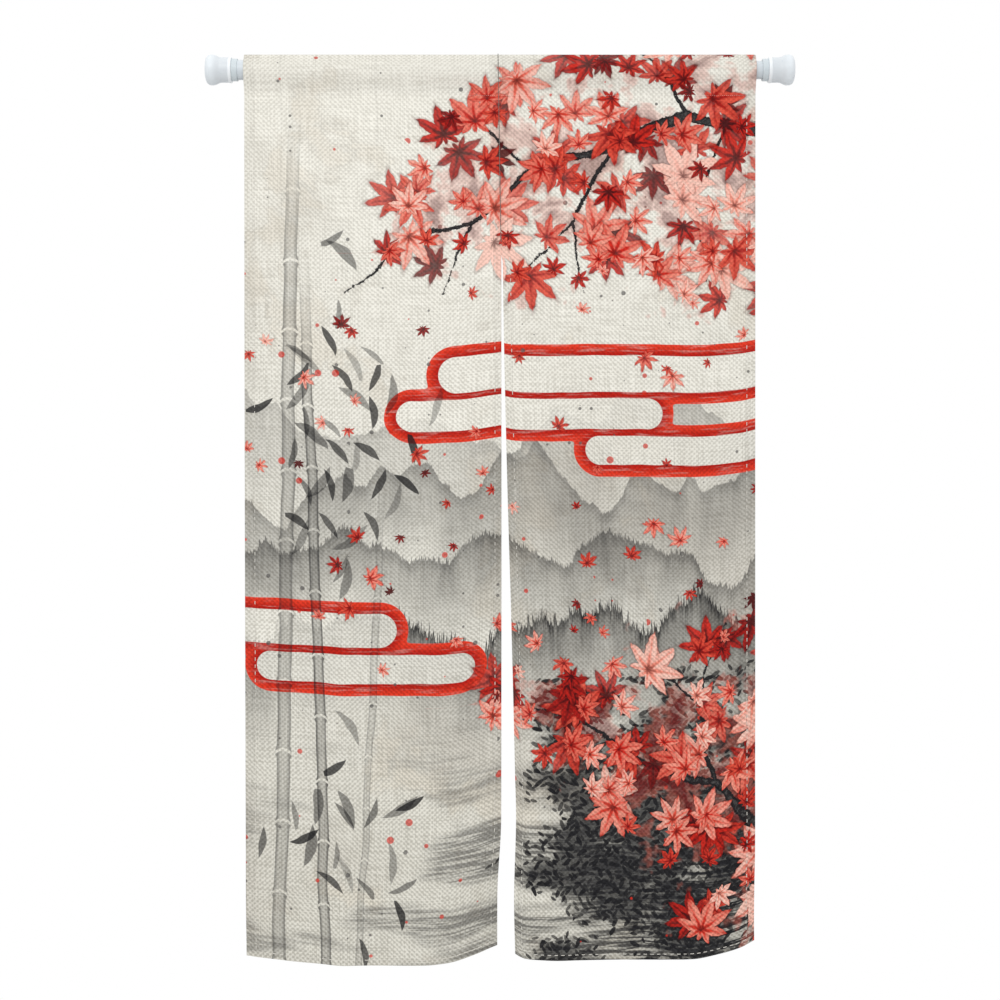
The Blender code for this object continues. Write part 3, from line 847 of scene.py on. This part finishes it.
def paint_leaves(nodes, under, place, layer, foliage):
    """One maple leaf in each cell of a loose grid, where the foliage is thick enough to keep it."""
    pivot = (layer.shift, 0.0, 0.0)
    turned = nodes.turn(place, layer.turn, pivot)
    away, middle, (kept, tint, spin) = scattered(nodes, turned, layer.size / 0.43, 0.30)
    back = nodes.turn(middle, -layer.turn, pivot)
    middle_x, middle_y, _ = nodes.split(back)
    off = off_foliage(nodes, middle_x, middle_y, foliage)
    grows = nodes.maths("LESS_THAN", kept, nodes.step(off, 1.10, 0.70) * layer.fill)
    x, y, _ = nodes.split(nodes.vector("SUBTRACT", turned, middle))
    angle = nodes.maths("WRAP", nodes.fuse(spin, math.tau, nodes.maths("ARCTAN2", y, x)),
                        math.pi, -math.pi)
    from_lobe = nodes.maths("WRAP", angle, LEAF_LOBE / 2, -LEAF_LOBE / 2)
    off_lobe = abs(from_lobe)
    lobe = nodes.fuse(nodes.fuse(off_lobe, -2.0 / LEAF_LOBE, 1.0) ** 1.05, 0.56, 0.44)
    length = nodes.node("MapRange", {"interpolation_type": "SMOOTHSTEP"},
                        {"Value": abs(angle), "From Min": 0.7, "From Max": math.pi,
                         "To Min": 1.0, "To Max": 0.30})
    share = away / (lobe * length * nodes.fuse(tint, 0.14, 0.34))
    leaf = nodes.step(share, 1.03, 0.94) * grows
    clump = nodes.grain(back, 6.0, 0.0)
    spread = nodes.fuse(spin, 0.30, nodes.fuse(clump, 1.0, layer.tone - 0.36))
    shade_share = nodes.fuse(tint, 0.65, spread)
    hue = ramp(nodes, shade_share, LEAF_COLOURS)
    deep = ramp(nodes, shade_share - 0.34, LEAF_COLOURS)
    blotch = nodes.grain(turned, 110.0, 1.0)
    heart = nodes.step(share, 0.62, 0.0)
    rim = nodes.step(share, 0.86, 1.0)
    depth = nodes.fuse(heart, 1.15, nodes.fuse(rim, 0.40, nodes.fuse(blotch, 0.8, -0.40)))
    vein = nodes.step(off_lobe * away, 0.022, 0.008)
    folded = nodes.step(from_lobe, -0.03, 0.03)
    shade = nodes.mix(nodes.fuse(vein, 0.45, nodes.fuse(folded, 0.28, depth)), hue, deep)
    shade = nodes.mix(nodes.step(share, 0.32, 0.03) * 0.80, shade, LEAF_HEART)
    shadow = nodes.step(share, 1.22, 1.0) * grows
    under = nodes.mix(shadow * 0.35, under, colour(110, 44, 40), "MULTIPLY")
    return nodes.mix(leaf * layer.opacity, under, shade)


def paint_blush(nodes, under, place, foliage):
    """A thin red wash brushed in behind the leaves before they are drawn."""
    x, y, _ = nodes.split(place)
    off = off_foliage(nodes, x, y, foliage)
    pools = nodes.fuse(off, -0.26, nodes.grain(warp(nodes, place, 7.0, 0.05), 15.0, 3.0, 0.65))
    wash = nodes.step(pools, 0.36, 0.48)
    rim = wash * nodes.step(pools, 0.50, 0.42)
    dark = nodes.step(pools, 0.44, 0.58)
    tone = nodes.mix(dark, colour(214, 116, 98), colour(132, 40, 36))
    return nodes.mix(nodes.fuse(wash, 0.30, nodes.fuse(dark, 0.30, rim * 0.12)), under, tone)


def paint_hills(nodes, under, place, hills):
    drawn = warp(nodes, place, 30.0, 0.006, 2.0)
    x, y, _ = nodes.split(drawn)
    trend = nodes.grain(place, 3.0, 1.0)
    brushed = nodes.grain(nodes.squeeze(drawn, 26.0, 9.0), 1.0, 4.0, 0.62)
    for hill in hills:
        swell = nodes.grain(nodes.fuse(x, hill.hills_per_metre, hill.seed), 1.0, 5.0, 0.42, "1D")
        crest = nodes.fuse(swell, hill.swing * 2.0, hill.crest - hill.swing)
        if hill.trees:
            spikes = nodes.grain(nodes.fuse(x, 190.0, hill.seed), 1.0, 3.0, 0.8, "1D")
            crest = nodes.fuse(nodes.step(spikes, 0.35, 0.75), hill.trees, crest)
        below = crest - y
        body = nodes.step(below, -0.0015, 0.0015)
        fade = nodes.step(below, nodes.fuse(trend, 1.2 * hill.depth, 1.6 * hill.depth), 0.0)
        crown = nodes.step(below, 0.030, 0.0)
        wash = body * fade * nodes.fuse(brushed, 0.75, nodes.fuse(crown, 0.30, 0.29))
        under = nodes.mix(wash * hill.ink, under, MID_INK if hill.ink < 0.5 else INK)
    return under


def paint_bands(nodes, under, place, bands):
    """Outlined level mist bands, their inside cleared to the ground's colour."""
    drawn = warp(nodes, place, 14.0, 0.004)
    x, y, _ = nodes.split(drawn)
    nearest = None
    for band in bands:
        past = nodes.maths("MAXIMUM", abs(x - band.x) - (band.half_length - band.half_height), 0.0)
        away = nodes.vector("LENGTH", nodes.join(past, y - band.y), output=1) - band.half_height
        nearest = away if nearest is None else nodes.maths("SMOOTH_MIN", nearest, away, 0.012)
    inside = nodes.step(nearest, 0.001, -0.001)
    under = nodes.mix(inside * 0.72, under, CREAM)
    line = nodes.step(abs(nearest), BAND_LINE + 0.0004, BAND_LINE - 0.0008)
    dry = nodes.grain(nodes.squeeze(drawn, 18.0, 190.0), 1.0, 3.0, 0.6)
    lit = nodes.step(nearest, -BAND_LINE, BAND_LINE)
    paint = nodes.mix(lit, colour(178, 28, 18), colour(224, 60, 38))
    return nodes.mix(line * nodes.fuse(nodes.step(dry, 0.30, 0.50), 0.2, 0.8), under, paint)


def paint_canes(nodes, under, place):
    drawn = warp(nodes, place, 6.0, 0.010)
    x, y, _ = nodes.split(drawn)
    brushed = nodes.grain(nodes.squeeze(drawn, 420.0, 7.0), 1.0, 3.0, 0.7)
    for cane in CANES:
        across = (nodes.fuse(y, -cane.lean, x) - cane.x) * (1.0 / cane.half_width)
        side = abs(across)
        joint = abs(nodes.maths("WRAP", nodes.fuse(side * side, 0.04, y * (1.0 / cane.joint)), 0.5, -0.5))
        swell = nodes.fuse(nodes.step(joint, 0.10, 0.02), 0.22, 1.0)
        body = nodes.step(side / swell, 1.02, 0.88) * nodes.step(joint, 0.012, 0.030)
        body = body * nodes.step(y, cane.top, cane.top - 0.35)
        tone = nodes.fuse(nodes.step(side, 0.35, 0.95), 0.50, nodes.fuse(brushed, 0.55, 0.08))
        under = nodes.mix(body * tone * cane.ink, under, INK)
    return under


def cane_leaves(nodes, under, place, pitch, shift, ink):
    """Slim pointed leaves that hang in sprays, one to a cell."""
    moved = nodes.vector("ADD", warp(nodes, place, 30.0, 0.006), (shift, 0.0, 0.0))
    _, middle, (kept, tint, spin) = scattered(nodes, moved, pitch, 0.55)
    spread = 1.1
    local = nodes.turn(nodes.vector("SUBTRACT", moved, middle),
                       nodes.fuse(spin, -2.0 * spread, math.radians(90.0) + spread))
    along, across, _ = nodes.split(nodes.squeeze(local, 1.0 / pitch, 1.0 / pitch))
    bend = nodes.fuse(along * along, 0.35, across)
    slim = nodes.maths("MAXIMUM", nodes.fuse(along * along, -4.3, 1.0), 0.0) * nodes.fuse(tint, 0.04, 0.085)
    body = nodes.step(slim - abs(bend), 0.0, 0.02)
    x, y, _ = nodes.split(middle)
    off = abs(x - (0.16 + shift)) * 4.4
    near = nodes.maths("MAXIMUM", 1.0 - off - abs(y - 0.86) * 2.4, 1.0 - off - abs(y - 0.22) * 4.0)
    grows = nodes.maths("LESS_THAN", kept, near * 1.3)
    return nodes.mix(body * grows * nodes.fuse(tint, 0.45, 0.55) * ink, under, INK)


def paint_shore(nodes, under, place):
    """Level dry-brush strokes of water and wet ground, darkest low on the right."""
    drawn = warp(nodes, place, 5.0, 0.030)
    x, y, _ = nodes.split(drawn)
    reach = nodes.grain(nodes.squeeze(drawn, 3.2, 11.0), 1.0, 3.0, 0.5)
    dry = nodes.grain(nodes.squeeze(drawn, 9.0, 150.0), 1.0, 4.0, 0.65)
    deep = nodes.step(x, 0.10, 0.85)
    wet = nodes.step(nodes.fuse(deep, 0.20, reach), 0.46, 0.60)
    ink = nodes.step(y, 0.50, 0.15) * wet * nodes.fuse(nodes.step(dry, 0.58, 0.44), 0.70, 0.30)
    return nodes.mix(ink * nodes.fuse(deep, 0.55, 0.48), under, colour(38, 38, 41))


def paint_thicket(nodes, under, place):
    """Bushes behind the lower bough: a grey wash, then many short dabs of black ink."""
    def thickness(spot):
        x, y, _ = nodes.split(spot)
        away = nodes.vector("LENGTH", nodes.join((x - 0.72) * 2.6, (y - 0.22) * 3.4), output=1)
        thick = nodes.fuse(away, -0.36, nodes.grain(nodes.squeeze(spot, 7.0, 11.0), 1.0, 3.0, 0.55))
        return thick * nodes.step(x, 0.36, 0.50) * nodes.step(y, 0.54, 0.46)

    wash = nodes.step(thickness(warp(nodes, place, 40.0, 0.02)), 0.12, 0.34)
    under = nodes.mix(wash * 0.86, under, colour(50, 50, 52))
    for pitch in (0.017, 0.012):
        _, middle, (kept, tint, spin) = scattered(nodes, place, pitch, 0.9)
        local = nodes.turn(nodes.vector("SUBTRACT", place, middle), nodes.fuse(spin, 2.4, -1.2))
        away = nodes.vector("LENGTH", nodes.squeeze(local, 1.5 / pitch, 4.0 / pitch), output=1)
        dab = nodes.step(away, 0.95, 0.75)
        grows = nodes.maths("LESS_THAN", kept, nodes.step(thickness(middle), 0.08, 0.26))
        under = nodes.mix(dab * grows * nodes.fuse(tint, 0.3, 0.68), under, INK)
    return under


def paint_specks(nodes, under, place, pitch, share, tone):
    away, _, (kept, tint, _) = scattered(nodes, place, pitch, 1.0)
    dot = nodes.step(nodes.fuse(tint * tint, -0.16, away), 0.07, 0.02)
    return nodes.mix(dot * nodes.maths("LESS_THAN", kept, share) * 0.8, under, tone)


# What the print holds, from the ground up, with the box of cloth that each motif can reach
Motif = namedtuple("Motif", "paint facts reach")
EVERYWHERE = Region(-1.0, 2.0, -1.0, 2.0)
UPPER_TREE = Region(0.14, 2.0, 1.07, 2.0)
LOWER_TREE = Region(0.30, 2.0, -1.0, 0.60)
SPRAYS = Region(-1.0, 0.42, -1.0, 1.32)
MOTIFS = (
    Motif(paint_ground, (), EVERYWHERE),
    Motif(paint_hills, (FAR_HILLS,), Region(-1.0, 2.0, 0.40, 1.15)),
    Motif(paint_bands, (UPPER_BANDS,), Region(0.20, 2.0, 0.78, 1.05)),
    Motif(paint_hills, (NEAR_HILLS,), Region(-1.0, 2.0, 0.25, 0.86)),
    Motif(paint_bands, (LOWER_BANDS,), Region(-1.0, 0.41, 0.44, 0.62)),
    Motif(paint_shore, (), Region(-1.0, 2.0, -1.0, 0.55)),
    Motif(paint_thicket, (), Region(0.36, 2.0, -1.0, 0.56)),
    Motif(paint_canes, (), Region(-1.0, 0.30, -1.0, 1.50)),
    Motif(cane_leaves, (0.077, 2.3, 0.70), SPRAYS),
    Motif(cane_leaves, (0.060, 6.1, 0.97), SPRAYS),
    Motif(paint_specks, (0.030, 0.06, VERMILION), EVERYWHERE),
    Motif(paint_specks, (0.019, 0.05, MID_INK), EVERYWHERE),
    Motif(paint_blush, (UPPER_FOLIAGE,), UPPER_TREE),
    Motif(paint_blush, (LOWER_FOLIAGE,), LOWER_TREE),
    Motif(paint_bough, (UPPER_BOUGH,), UPPER_TREE),
    Motif(paint_bough, (LOWER_BOUGH,), Region(0.40, 2.0, -1.0, 0.60)),
    *(Motif(paint_leaves, (layer, UPPER_FOLIAGE), UPPER_TREE) for layer in THICK_LEAVES),
    *(Motif(paint_leaves, (layer, LOWER_FOLIAGE), LOWER_TREE) for layer in THICK_LEAVES),
    *(Motif(paint_leaves, (layer, ANYWHERE), EVERYWHERE) for layer in LOOSE_LEAVES),
)
SHOWING_THROUGH = "showing_through"
PALER_REVERSE = 0.42
REGION_OVERLAP = 0.02


def shaded_hems(nodes, tone, across, up, panel):
    """Painted shade: where two plies lie the cloth is darkened a little, as less light comes through two
    plies than one, most along the edge of the ply behind. The cloth over the rod is greyed a little with
    painted shade that tones down the light on its upper face, and painted shade darkens lines along the
    upright creases."""
    from_left = across - panel.start
    from_right = nodes.fuse(from_left, -1.0, PANEL_WIDTH)
    outside = nodes.maths("MINIMUM", nodes.maths("MINIMUM", from_left - panel.left_turn,
                                                 from_right - panel.right_turn), up - BOTTOM_HEM)
    # Painted shade where two plies lie, as less light comes through two plies than one.
    tone = nodes.mix(nodes.step(outside, 0.0004, -0.0004) * 0.05, tone, PAINTED_CLOTH_SHADE)
    # Painted shade over the rod, toning down the light on the sleeve's upper face.
    over_rod = nodes.step(up, FULL_DROP - 0.036, FULL_DROP - 0.008)
    tone = nodes.mix(over_rod * 0.15, tone, PAINTED_CLOTH_SHADE)
    # Painted shade: a faint dark line along the edge of the ply behind, and darker lines along the upright
    # creases.
    painted_edge_and_crease_shade = nodes.step(abs(outside), 0.0016, 0.0) * 0.04
    for crease in panel.creases:
        if crease.upright:
            line = nodes.step(abs(from_left - crease.at * PANEL_WIDTH), 0.0026, 0.0004)
            painted_edge_and_crease_shade = nodes.fuse(line, nodes.step(up, FULL_DROP - crease.end, 1.7) * 0.08, painted_edge_and_crease_shade)
    return nodes.mix(painted_edge_and_crease_shade, tone, PAINTED_CLOTH_SHADE)


def weave(finish, flat, across, up):
    """A slubbed lattice of yarns, leaning one way or the other by patches.

    Returns how much light it gives back as painted shade and light (a factor on the colour that is
    dark in the pits and between yarns, light on yarn tops and slubs), how high it stands, and its slubs."""
    uneven = finish.grain(flat, 120.0, 1.0)
    warp_turn = finish.fuse(across, math.tau / YARN_REPEAT_X, uneven * 2.2)
    weft_turn = finish.fuse(up, math.tau / YARN_REPEAT_Y, uneven * 1.4)
    lean = finish.step(finish.grain(flat, 9.0, 2.0), 0.34, 0.60)
    rising = finish.maths("COSINE", warp_turn + weft_turn)
    falling = finish.maths("COSINE", warp_turn - weft_turn)
    slubs = finish.grain(finish.squeeze(flat, 460.0, 16.0), 1.0, 1.0)
    slubs = slubs + finish.grain(finish.squeeze(flat, 16.0, 460.0), 1.0, 1.0)
    both = finish.fuse(rising, 0.55, falling * 0.80)
    over = finish.fuse(lean, finish.fuse(rising, 0.35, falling * -0.35), both)
    over = finish.fuse(slubs, 1.6, over - 1.6)
    yarn_x = abs(finish.maths("SINE", across * (math.pi * YARNS_IN_REPEAT / YARN_REPEAT_X)))
    yarn_y = abs(finish.maths("SINE", up * (math.pi * YARNS_IN_REPEAT / YARN_REPEAT_Y)))
    on_top = finish.step(over, -0.35, 0.35)
    yarns = finish.fuse(on_top, yarn_x - yarn_y, yarn_y)
    pits = finish.step(over, 0.95, -0.95)
    # Painted shade and light: dark in the pits, more so towards the foot, and between yarns; light on yarn
    # tops and slubs.
    depth = finish.fuse(up, 0.09, -0.37)
    light = finish.fuse(pits, depth, finish.fuse(yarns, 0.08, finish.fuse(slubs, 0.16, 0.925)))
    height = finish.fuse(pits, -0.8, finish.fuse(yarns, 0.5, slubs * 0.4))
    return light, height, slubs


def cloth_print(name, groups, panel, region):
    """The printed cloth of one region, with only the motifs that reach it."""
    left = max(region.left, panel.start - REGION_OVERLAP)
    right = min(region.right, panel.start + PANEL_WIDTH + REGION_OVERLAP)
    finish = Finish(name, "2D")
    flat = finish.attribute("flat")
    wavering = warp(finish, flat, 90.0, 0.0045)
    tone = CREAM
    for paint, facts, reach in MOTIFS:
        level = reach.low < region.high and reach.high > region.low
        if level and reach.left < right and reach.right > left:
            place = wavering if paint is paint_leaves else flat
            tone = painted(finish, groups, paint, tone, place, *facts)
    tone = finish.mix(0.0, tone, CREAM)
    tone.socket.node.name = SHOWING_THROUGH
    across, up, _ = finish.split(flat)
    tone = shaded_hems(finish, tone, across, up, panel)
    light, height, slubs = weave(finish, flat, across, up)
    # The weave's painted shade and light, warmer where darker, multiplied into the print's colour.
    painted_weave_shade = finish.join(light, finish.fuse(light, 1.03, -0.03), finish.fuse(light, 1.10, -0.10))
    return finish.done(
        Base_Color=finish.mix(1.0, tone, painted_weave_shade, "MULTIPLY"),
        Roughness=finish.fuse(slubs, 0.06, 0.84),
        Normal=finish.relief(height, 0.00022),
        Specular_IOR_Level=0.15,
    )


slit_edge = tuple(EdgeRow(drop, along_table(SEAM_EDGE, drop) + along_table(SLIT_OPENING, drop))
                  for drop in sorted({row.drop for row in SEAM_EDGE + SLIT_OPENING}))
panels = (
    Panel("cloth_left", "panel_left", LEFT_EDGE, SEAM_EDGE, LEFT_HEM, LEFT_FOLDS, LEFT_CURLS,
          LEFT_CREASES, OUTER_SIDE_HEM, SLIT_SIDE_HEM, (0.0168, 0.0108), 0.0, 1.0, 0.27, LEFT_REGIONS),
    Panel("cloth_right", "panel_right", slit_edge, RIGHT_EDGE, RIGHT_HEM, RIGHT_FOLDS, RIGHT_CURLS,
          RIGHT_CREASES, SLIT_SIDE_HEM, OUTER_SIDE_HEM, (0.0128, 0.0146), PANEL_WIDTH, 0.0, 0.70,
          RIGHT_REGIONS),
)
motif_groups = {}
for panel in panels:
    prints = []
    for k, region in enumerate(panel.regions):
        prints.append(cloth_print(f"print_{panel.name}_{k}", motif_groups, panel, region))
    reverses = []
    for face in prints:
        reverse = face.copy()
        reverse.name = face.name.replace("print", "reverse")
        reverse.node_tree.nodes[SHOWING_THROUGH].inputs[0].default_value = PALER_REVERSE
        reverses.append(reverse)
    cloth = build_cloth(panel, prints, reverses)
    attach(cloth, "root")
    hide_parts(panel.node)
    turned = OUTER_SIDE_HEM + SLIT_SIDE_HEM
    PANEL_WIDTH + turned

# Sewing threads
# Cream thread holds the side hems, the foot hem and the sleeve with running stitches. Grey thread
# draws the two panels together, edge to edge, from the top of the sleeve nearly down to the slit. Its
# dark grey is partly painted shade, standing in for the shade in the groove between the panels.

SEAM_STITCHED = 0.320
Seam = namedtuple("Seam", "period shown radius")
SIDE_SEAM = Seam(0.01177, 0.0062, 0.00060)
FOOT_SEAM = Seam(0.01177, 0.0068, 0.00060)
SLEEVE_SEAM = Seam(0.0034, 0.0018, 0.00016)
MIDDLE_SEAM = Seam(0.0036, 0.0034, 0.00062)
FOOT_STITCH = 0.0095
OUTER_STITCHES = 0.004
SLIT_STITCHES = SEAM_END - SLEEVE_DROP
LINE_INSET = 0.003
SEAM_BITE = 0.0011
NEEDLE_WANDER = 0.0004
STITCH_SIDES = 6
STITCH_HUMP = ((0.00, -1.3), (0.12, 0.0), (0.32, 0.55), (0.68, 0.55), (0.88, 0.0), (1.00, -1.3))


def thread_material(name, light, dark):
    finish = Finish(name)
    place = finish.place()
    plies = finish.grain(place, 2600.0, 2.0)
    patches = finish.grain(place, 24.0, 2.0)
    tone = finish.mix(finish.fuse(plies, 0.6, patches * 0.4), dark, light)
    return finish.done(Base_Color=tone, Roughness=finish.fuse(plies, 0.2, 0.55),
                       Normal=finish.relief(plies, 0.00008))


def on_cloth(panel, side_run, path):
    """A place on the cloth's outside and the way out of it there."""
    step = 0.0004
    here = panel_point(panel, side_run, path)
    beside = panel_point(panel, side_run + step, path) - panel_point(panel, side_run - step, path)
    below = panel_point(panel, side_run, path + step) - panel_point(panel, side_run, path - step)
    out = below.cross(beside).normalized()
    return here + out * (CLOTH / 2), out


def sew(bm, start, end, radius):
    """Add one stitch from start to end, each a place and the way out there: a humped round thread."""
    along = end[0] - start[0]
    aside = (start[1] + end[1]).cross(along).normalized()
    up = along.cross(aside).normalized()
    rings = []
    for share, lift in STITCH_HUMP:
        middle = start[0] + along * share + up * (lift * radius)
        turns = [math.tau * k / STITCH_SIDES for k in range(STITCH_SIDES)]
        rings.append([bm.verts.new(middle + (aside * math.cos(turn) + up * math.sin(turn)) * radius)
                      for turn in turns])
    for ring, following in zip(rings, rings[1:]):
        for k in range(STITCH_SIDES):
            bm.faces.new((ring[k], ring[k - 1], following[k - 1], following[k]))
    bm.faces.new(rings[0])
    bm.faces.new(rings[-1][::-1])


def sew_line(bm, panel, seam, length, front, back):
    """Running stitches along a line: on the front, and between those on the ply behind.

    front(run) and back(run) give the flat place, (side_run, path), at a way along the line."""
    count = int(length / seam.period)
    pitch = length / count
    for k in range(count - 1):
        start = (k + 0.5) * pitch
        jitter = NEEDLE_WANDER * noise.noise(Vector((start * 90.0, panel.start * 7.0, 3.1)))
        shown = seam.shown * (1.0 + 0.2 * noise.noise(Vector((start * 210.0, 5.0, panel.start))))
        for line, here, there in ((front, start, start + shown), (back, start + shown, start + pitch)):
            ends = []
            for run in (here, there):
                side_run, path = line(run + jitter)
                ends.append(on_cloth(panel, side_run, path))
            sew(bm, *ends, seam.radius)


def upright_line(side_run, start):
    return lambda run: (side_run, SLEEVE_LENGTH + start + run)


def level_line(path):
    return lambda run: (LINE_INSET + run, path)


cream_thread = thread_material("cream_thread", colour(238, 236, 228), colour(202, 197, 186))
# The seam thread is real sewing, and its dark grey is partly painted shade for the groove between the
# panels.
grey_seam_thread_and_shade = thread_material("grey_seam_thread_and_shade", colour(146, 142, 135), colour(98, 95, 90))
foot_path = SLEEVE_LENGTH + HANG
level_length = PANEL_WIDTH - 2 * LINE_INSET
for panel in panels:
    bm = bmesh.new()
    for edge, turned, inset, back in ((0.0, panel.left_turn, panel.insets[0], -1),
                                      (PANEL_WIDTH, panel.right_turn, panel.insets[1], 1)):
        start = SLIT_STITCHES if turned == SLIT_SIDE_HEM else OUTER_STITCHES
        sew_line(bm, panel, SIDE_SEAM, HANG - start - 0.002, upright_line(edge - back * inset, start),
                 upright_line(edge + back * inset, start))
    sew_line(bm, panel, FOOT_SEAM, level_length, level_line(foot_path - FOOT_STITCH),
             level_line(foot_path + FOOT_STITCH))
    sew_line(bm, panel, SLEEVE_SEAM, level_length, level_line(SLEEVE_LENGTH), level_line(-SLEEVE_LENGTH))
    threads = finish_object(panel.name.replace("cloth", "stitches"), bm, cream_thread, 80)
    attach(threads, "root")

bm = bmesh.new()
left_panel, right_panel = panels
for k in range(int((SLEEVE_LENGTH + SEAM_STITCHED - SLEEVE_DROP) / MIDDLE_SEAM.period)):
    ends = []
    for path in (k * MIDDLE_SEAM.period, k * MIDDLE_SEAM.period + MIDDLE_SEAM.shown):
        left_place, left_out = on_cloth(left_panel, PANEL_WIDTH - SEAM_BITE, path)
        right_place, right_out = on_cloth(right_panel, SEAM_BITE, path)
        ends.append(((left_place + right_place) / 2, (left_out + right_out).normalized()))
    sew(bm, *ends, MIDDLE_SEAM.radius)
seam_thread = finish_object("seam_thread", bm, grey_seam_thread_and_shade, 80)
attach(seam_thread, "root")

# Camera, light and floor
# The camera looks straight at the front, level with the middle row of the photograph. The floor
# and the white ground are plain, and a soft light stands high in front, a little to the left.

CAMERA_DISTANCE = 3.2
PIXEL_SIZE = 0.0016667
FRAME_PIXELS = 1000
ROD_LEFT_PIXEL = 206
CLOTH_TOP_PIXEL = 53.5
SENSOR_MM = 36.0

camera_data = bpy.data.cameras.new("camera")
camera = bpy.data.objects.new("camera", camera_data)
bpy.context.scene.collection.objects.link(camera)
camera_data.sensor_width = SENSOR_MM
camera_data.lens = SENSOR_MM * CAMERA_DISTANCE / (PIXEL_SIZE * FRAME_PIXELS)
middle_x = (FRAME_PIXELS / 2 - ROD_LEFT_PIXEL) * PIXEL_SIZE
middle_z = SLEEVE_RISE - (FRAME_PIXELS / 2 - CLOTH_TOP_PIXEL) * PIXEL_SIZE
camera.location = (middle_x, -CAMERA_DISTANCE, middle_z)
camera.rotation_euler = (math.radians(90.0), 0.0, 0.0)
bpy.context.scene.camera = camera

FLOOR_Z = -2.05
FLOOR_RADIUS = 1.5
KEY_LIGHT_SIZE = 1.0
KEY_LIGHT_WATTS = 22.5
bm = bmesh.new()
bmesh.ops.create_circle(bm, cap_ends=True, segments=64, radius=FLOOR_RADIUS)
bmesh.ops.translate(bm, verts=bm.verts, vec=(middle_x, 0.0, FLOOR_Z))
floor_paint = Finish("floor_paint")
floor_tone = floor_paint.mix(floor_paint.grain(floor_paint.place(), 3.0), colour(238, 238, 236),
                             colour(246, 246, 245))
floor = finish_object("floor", bm, floor_paint.done(Base_Color=floor_tone, Roughness=0.8))

world = bpy.data.worlds.new("studio")
bpy.context.scene.world = world
world.use_nodes = True
sky = Nodes(world.node_tree)
_, _, sky_height = sky.split(sky.node("TexCoord", {}, {}, output=0))
sky_light = sky.mix(sky.step(sky_height, -0.8, 0.9), (0.57, 0.57, 0.58, 1.0), (1.05, 1.05, 1.05, 1.0))
seen = sky.node("LightPath", {}, {}, output=0)
background = world.node_tree.nodes["Background"]
sky.feed(background.inputs["Color"], sky.mix(seen, sky_light, (1.0, 1.0, 1.0, 1.0)))
bpy.context.scene.view_settings.view_transform = "Standard"


def soft_light(name, place, aim, size, watts):
    data = bpy.data.lights.new(name, "AREA")
    data.shape = "DISK"
    data.size = size
    data.energy = watts
    light = bpy.data.objects.new(name, data)
    light.location = place
    light.rotation_euler = (Vector(aim) - Vector(place)).to_track_quat("-Z", "Y").to_euler()
    bpy.context.scene.collection.objects.link(light)


soft_light("key_light", (middle_x - 0.7, -2.7, 1.2), (middle_x, 0.0, middle_z), KEY_LIGHT_SIZE,
           KEY_LIGHT_WATTS)
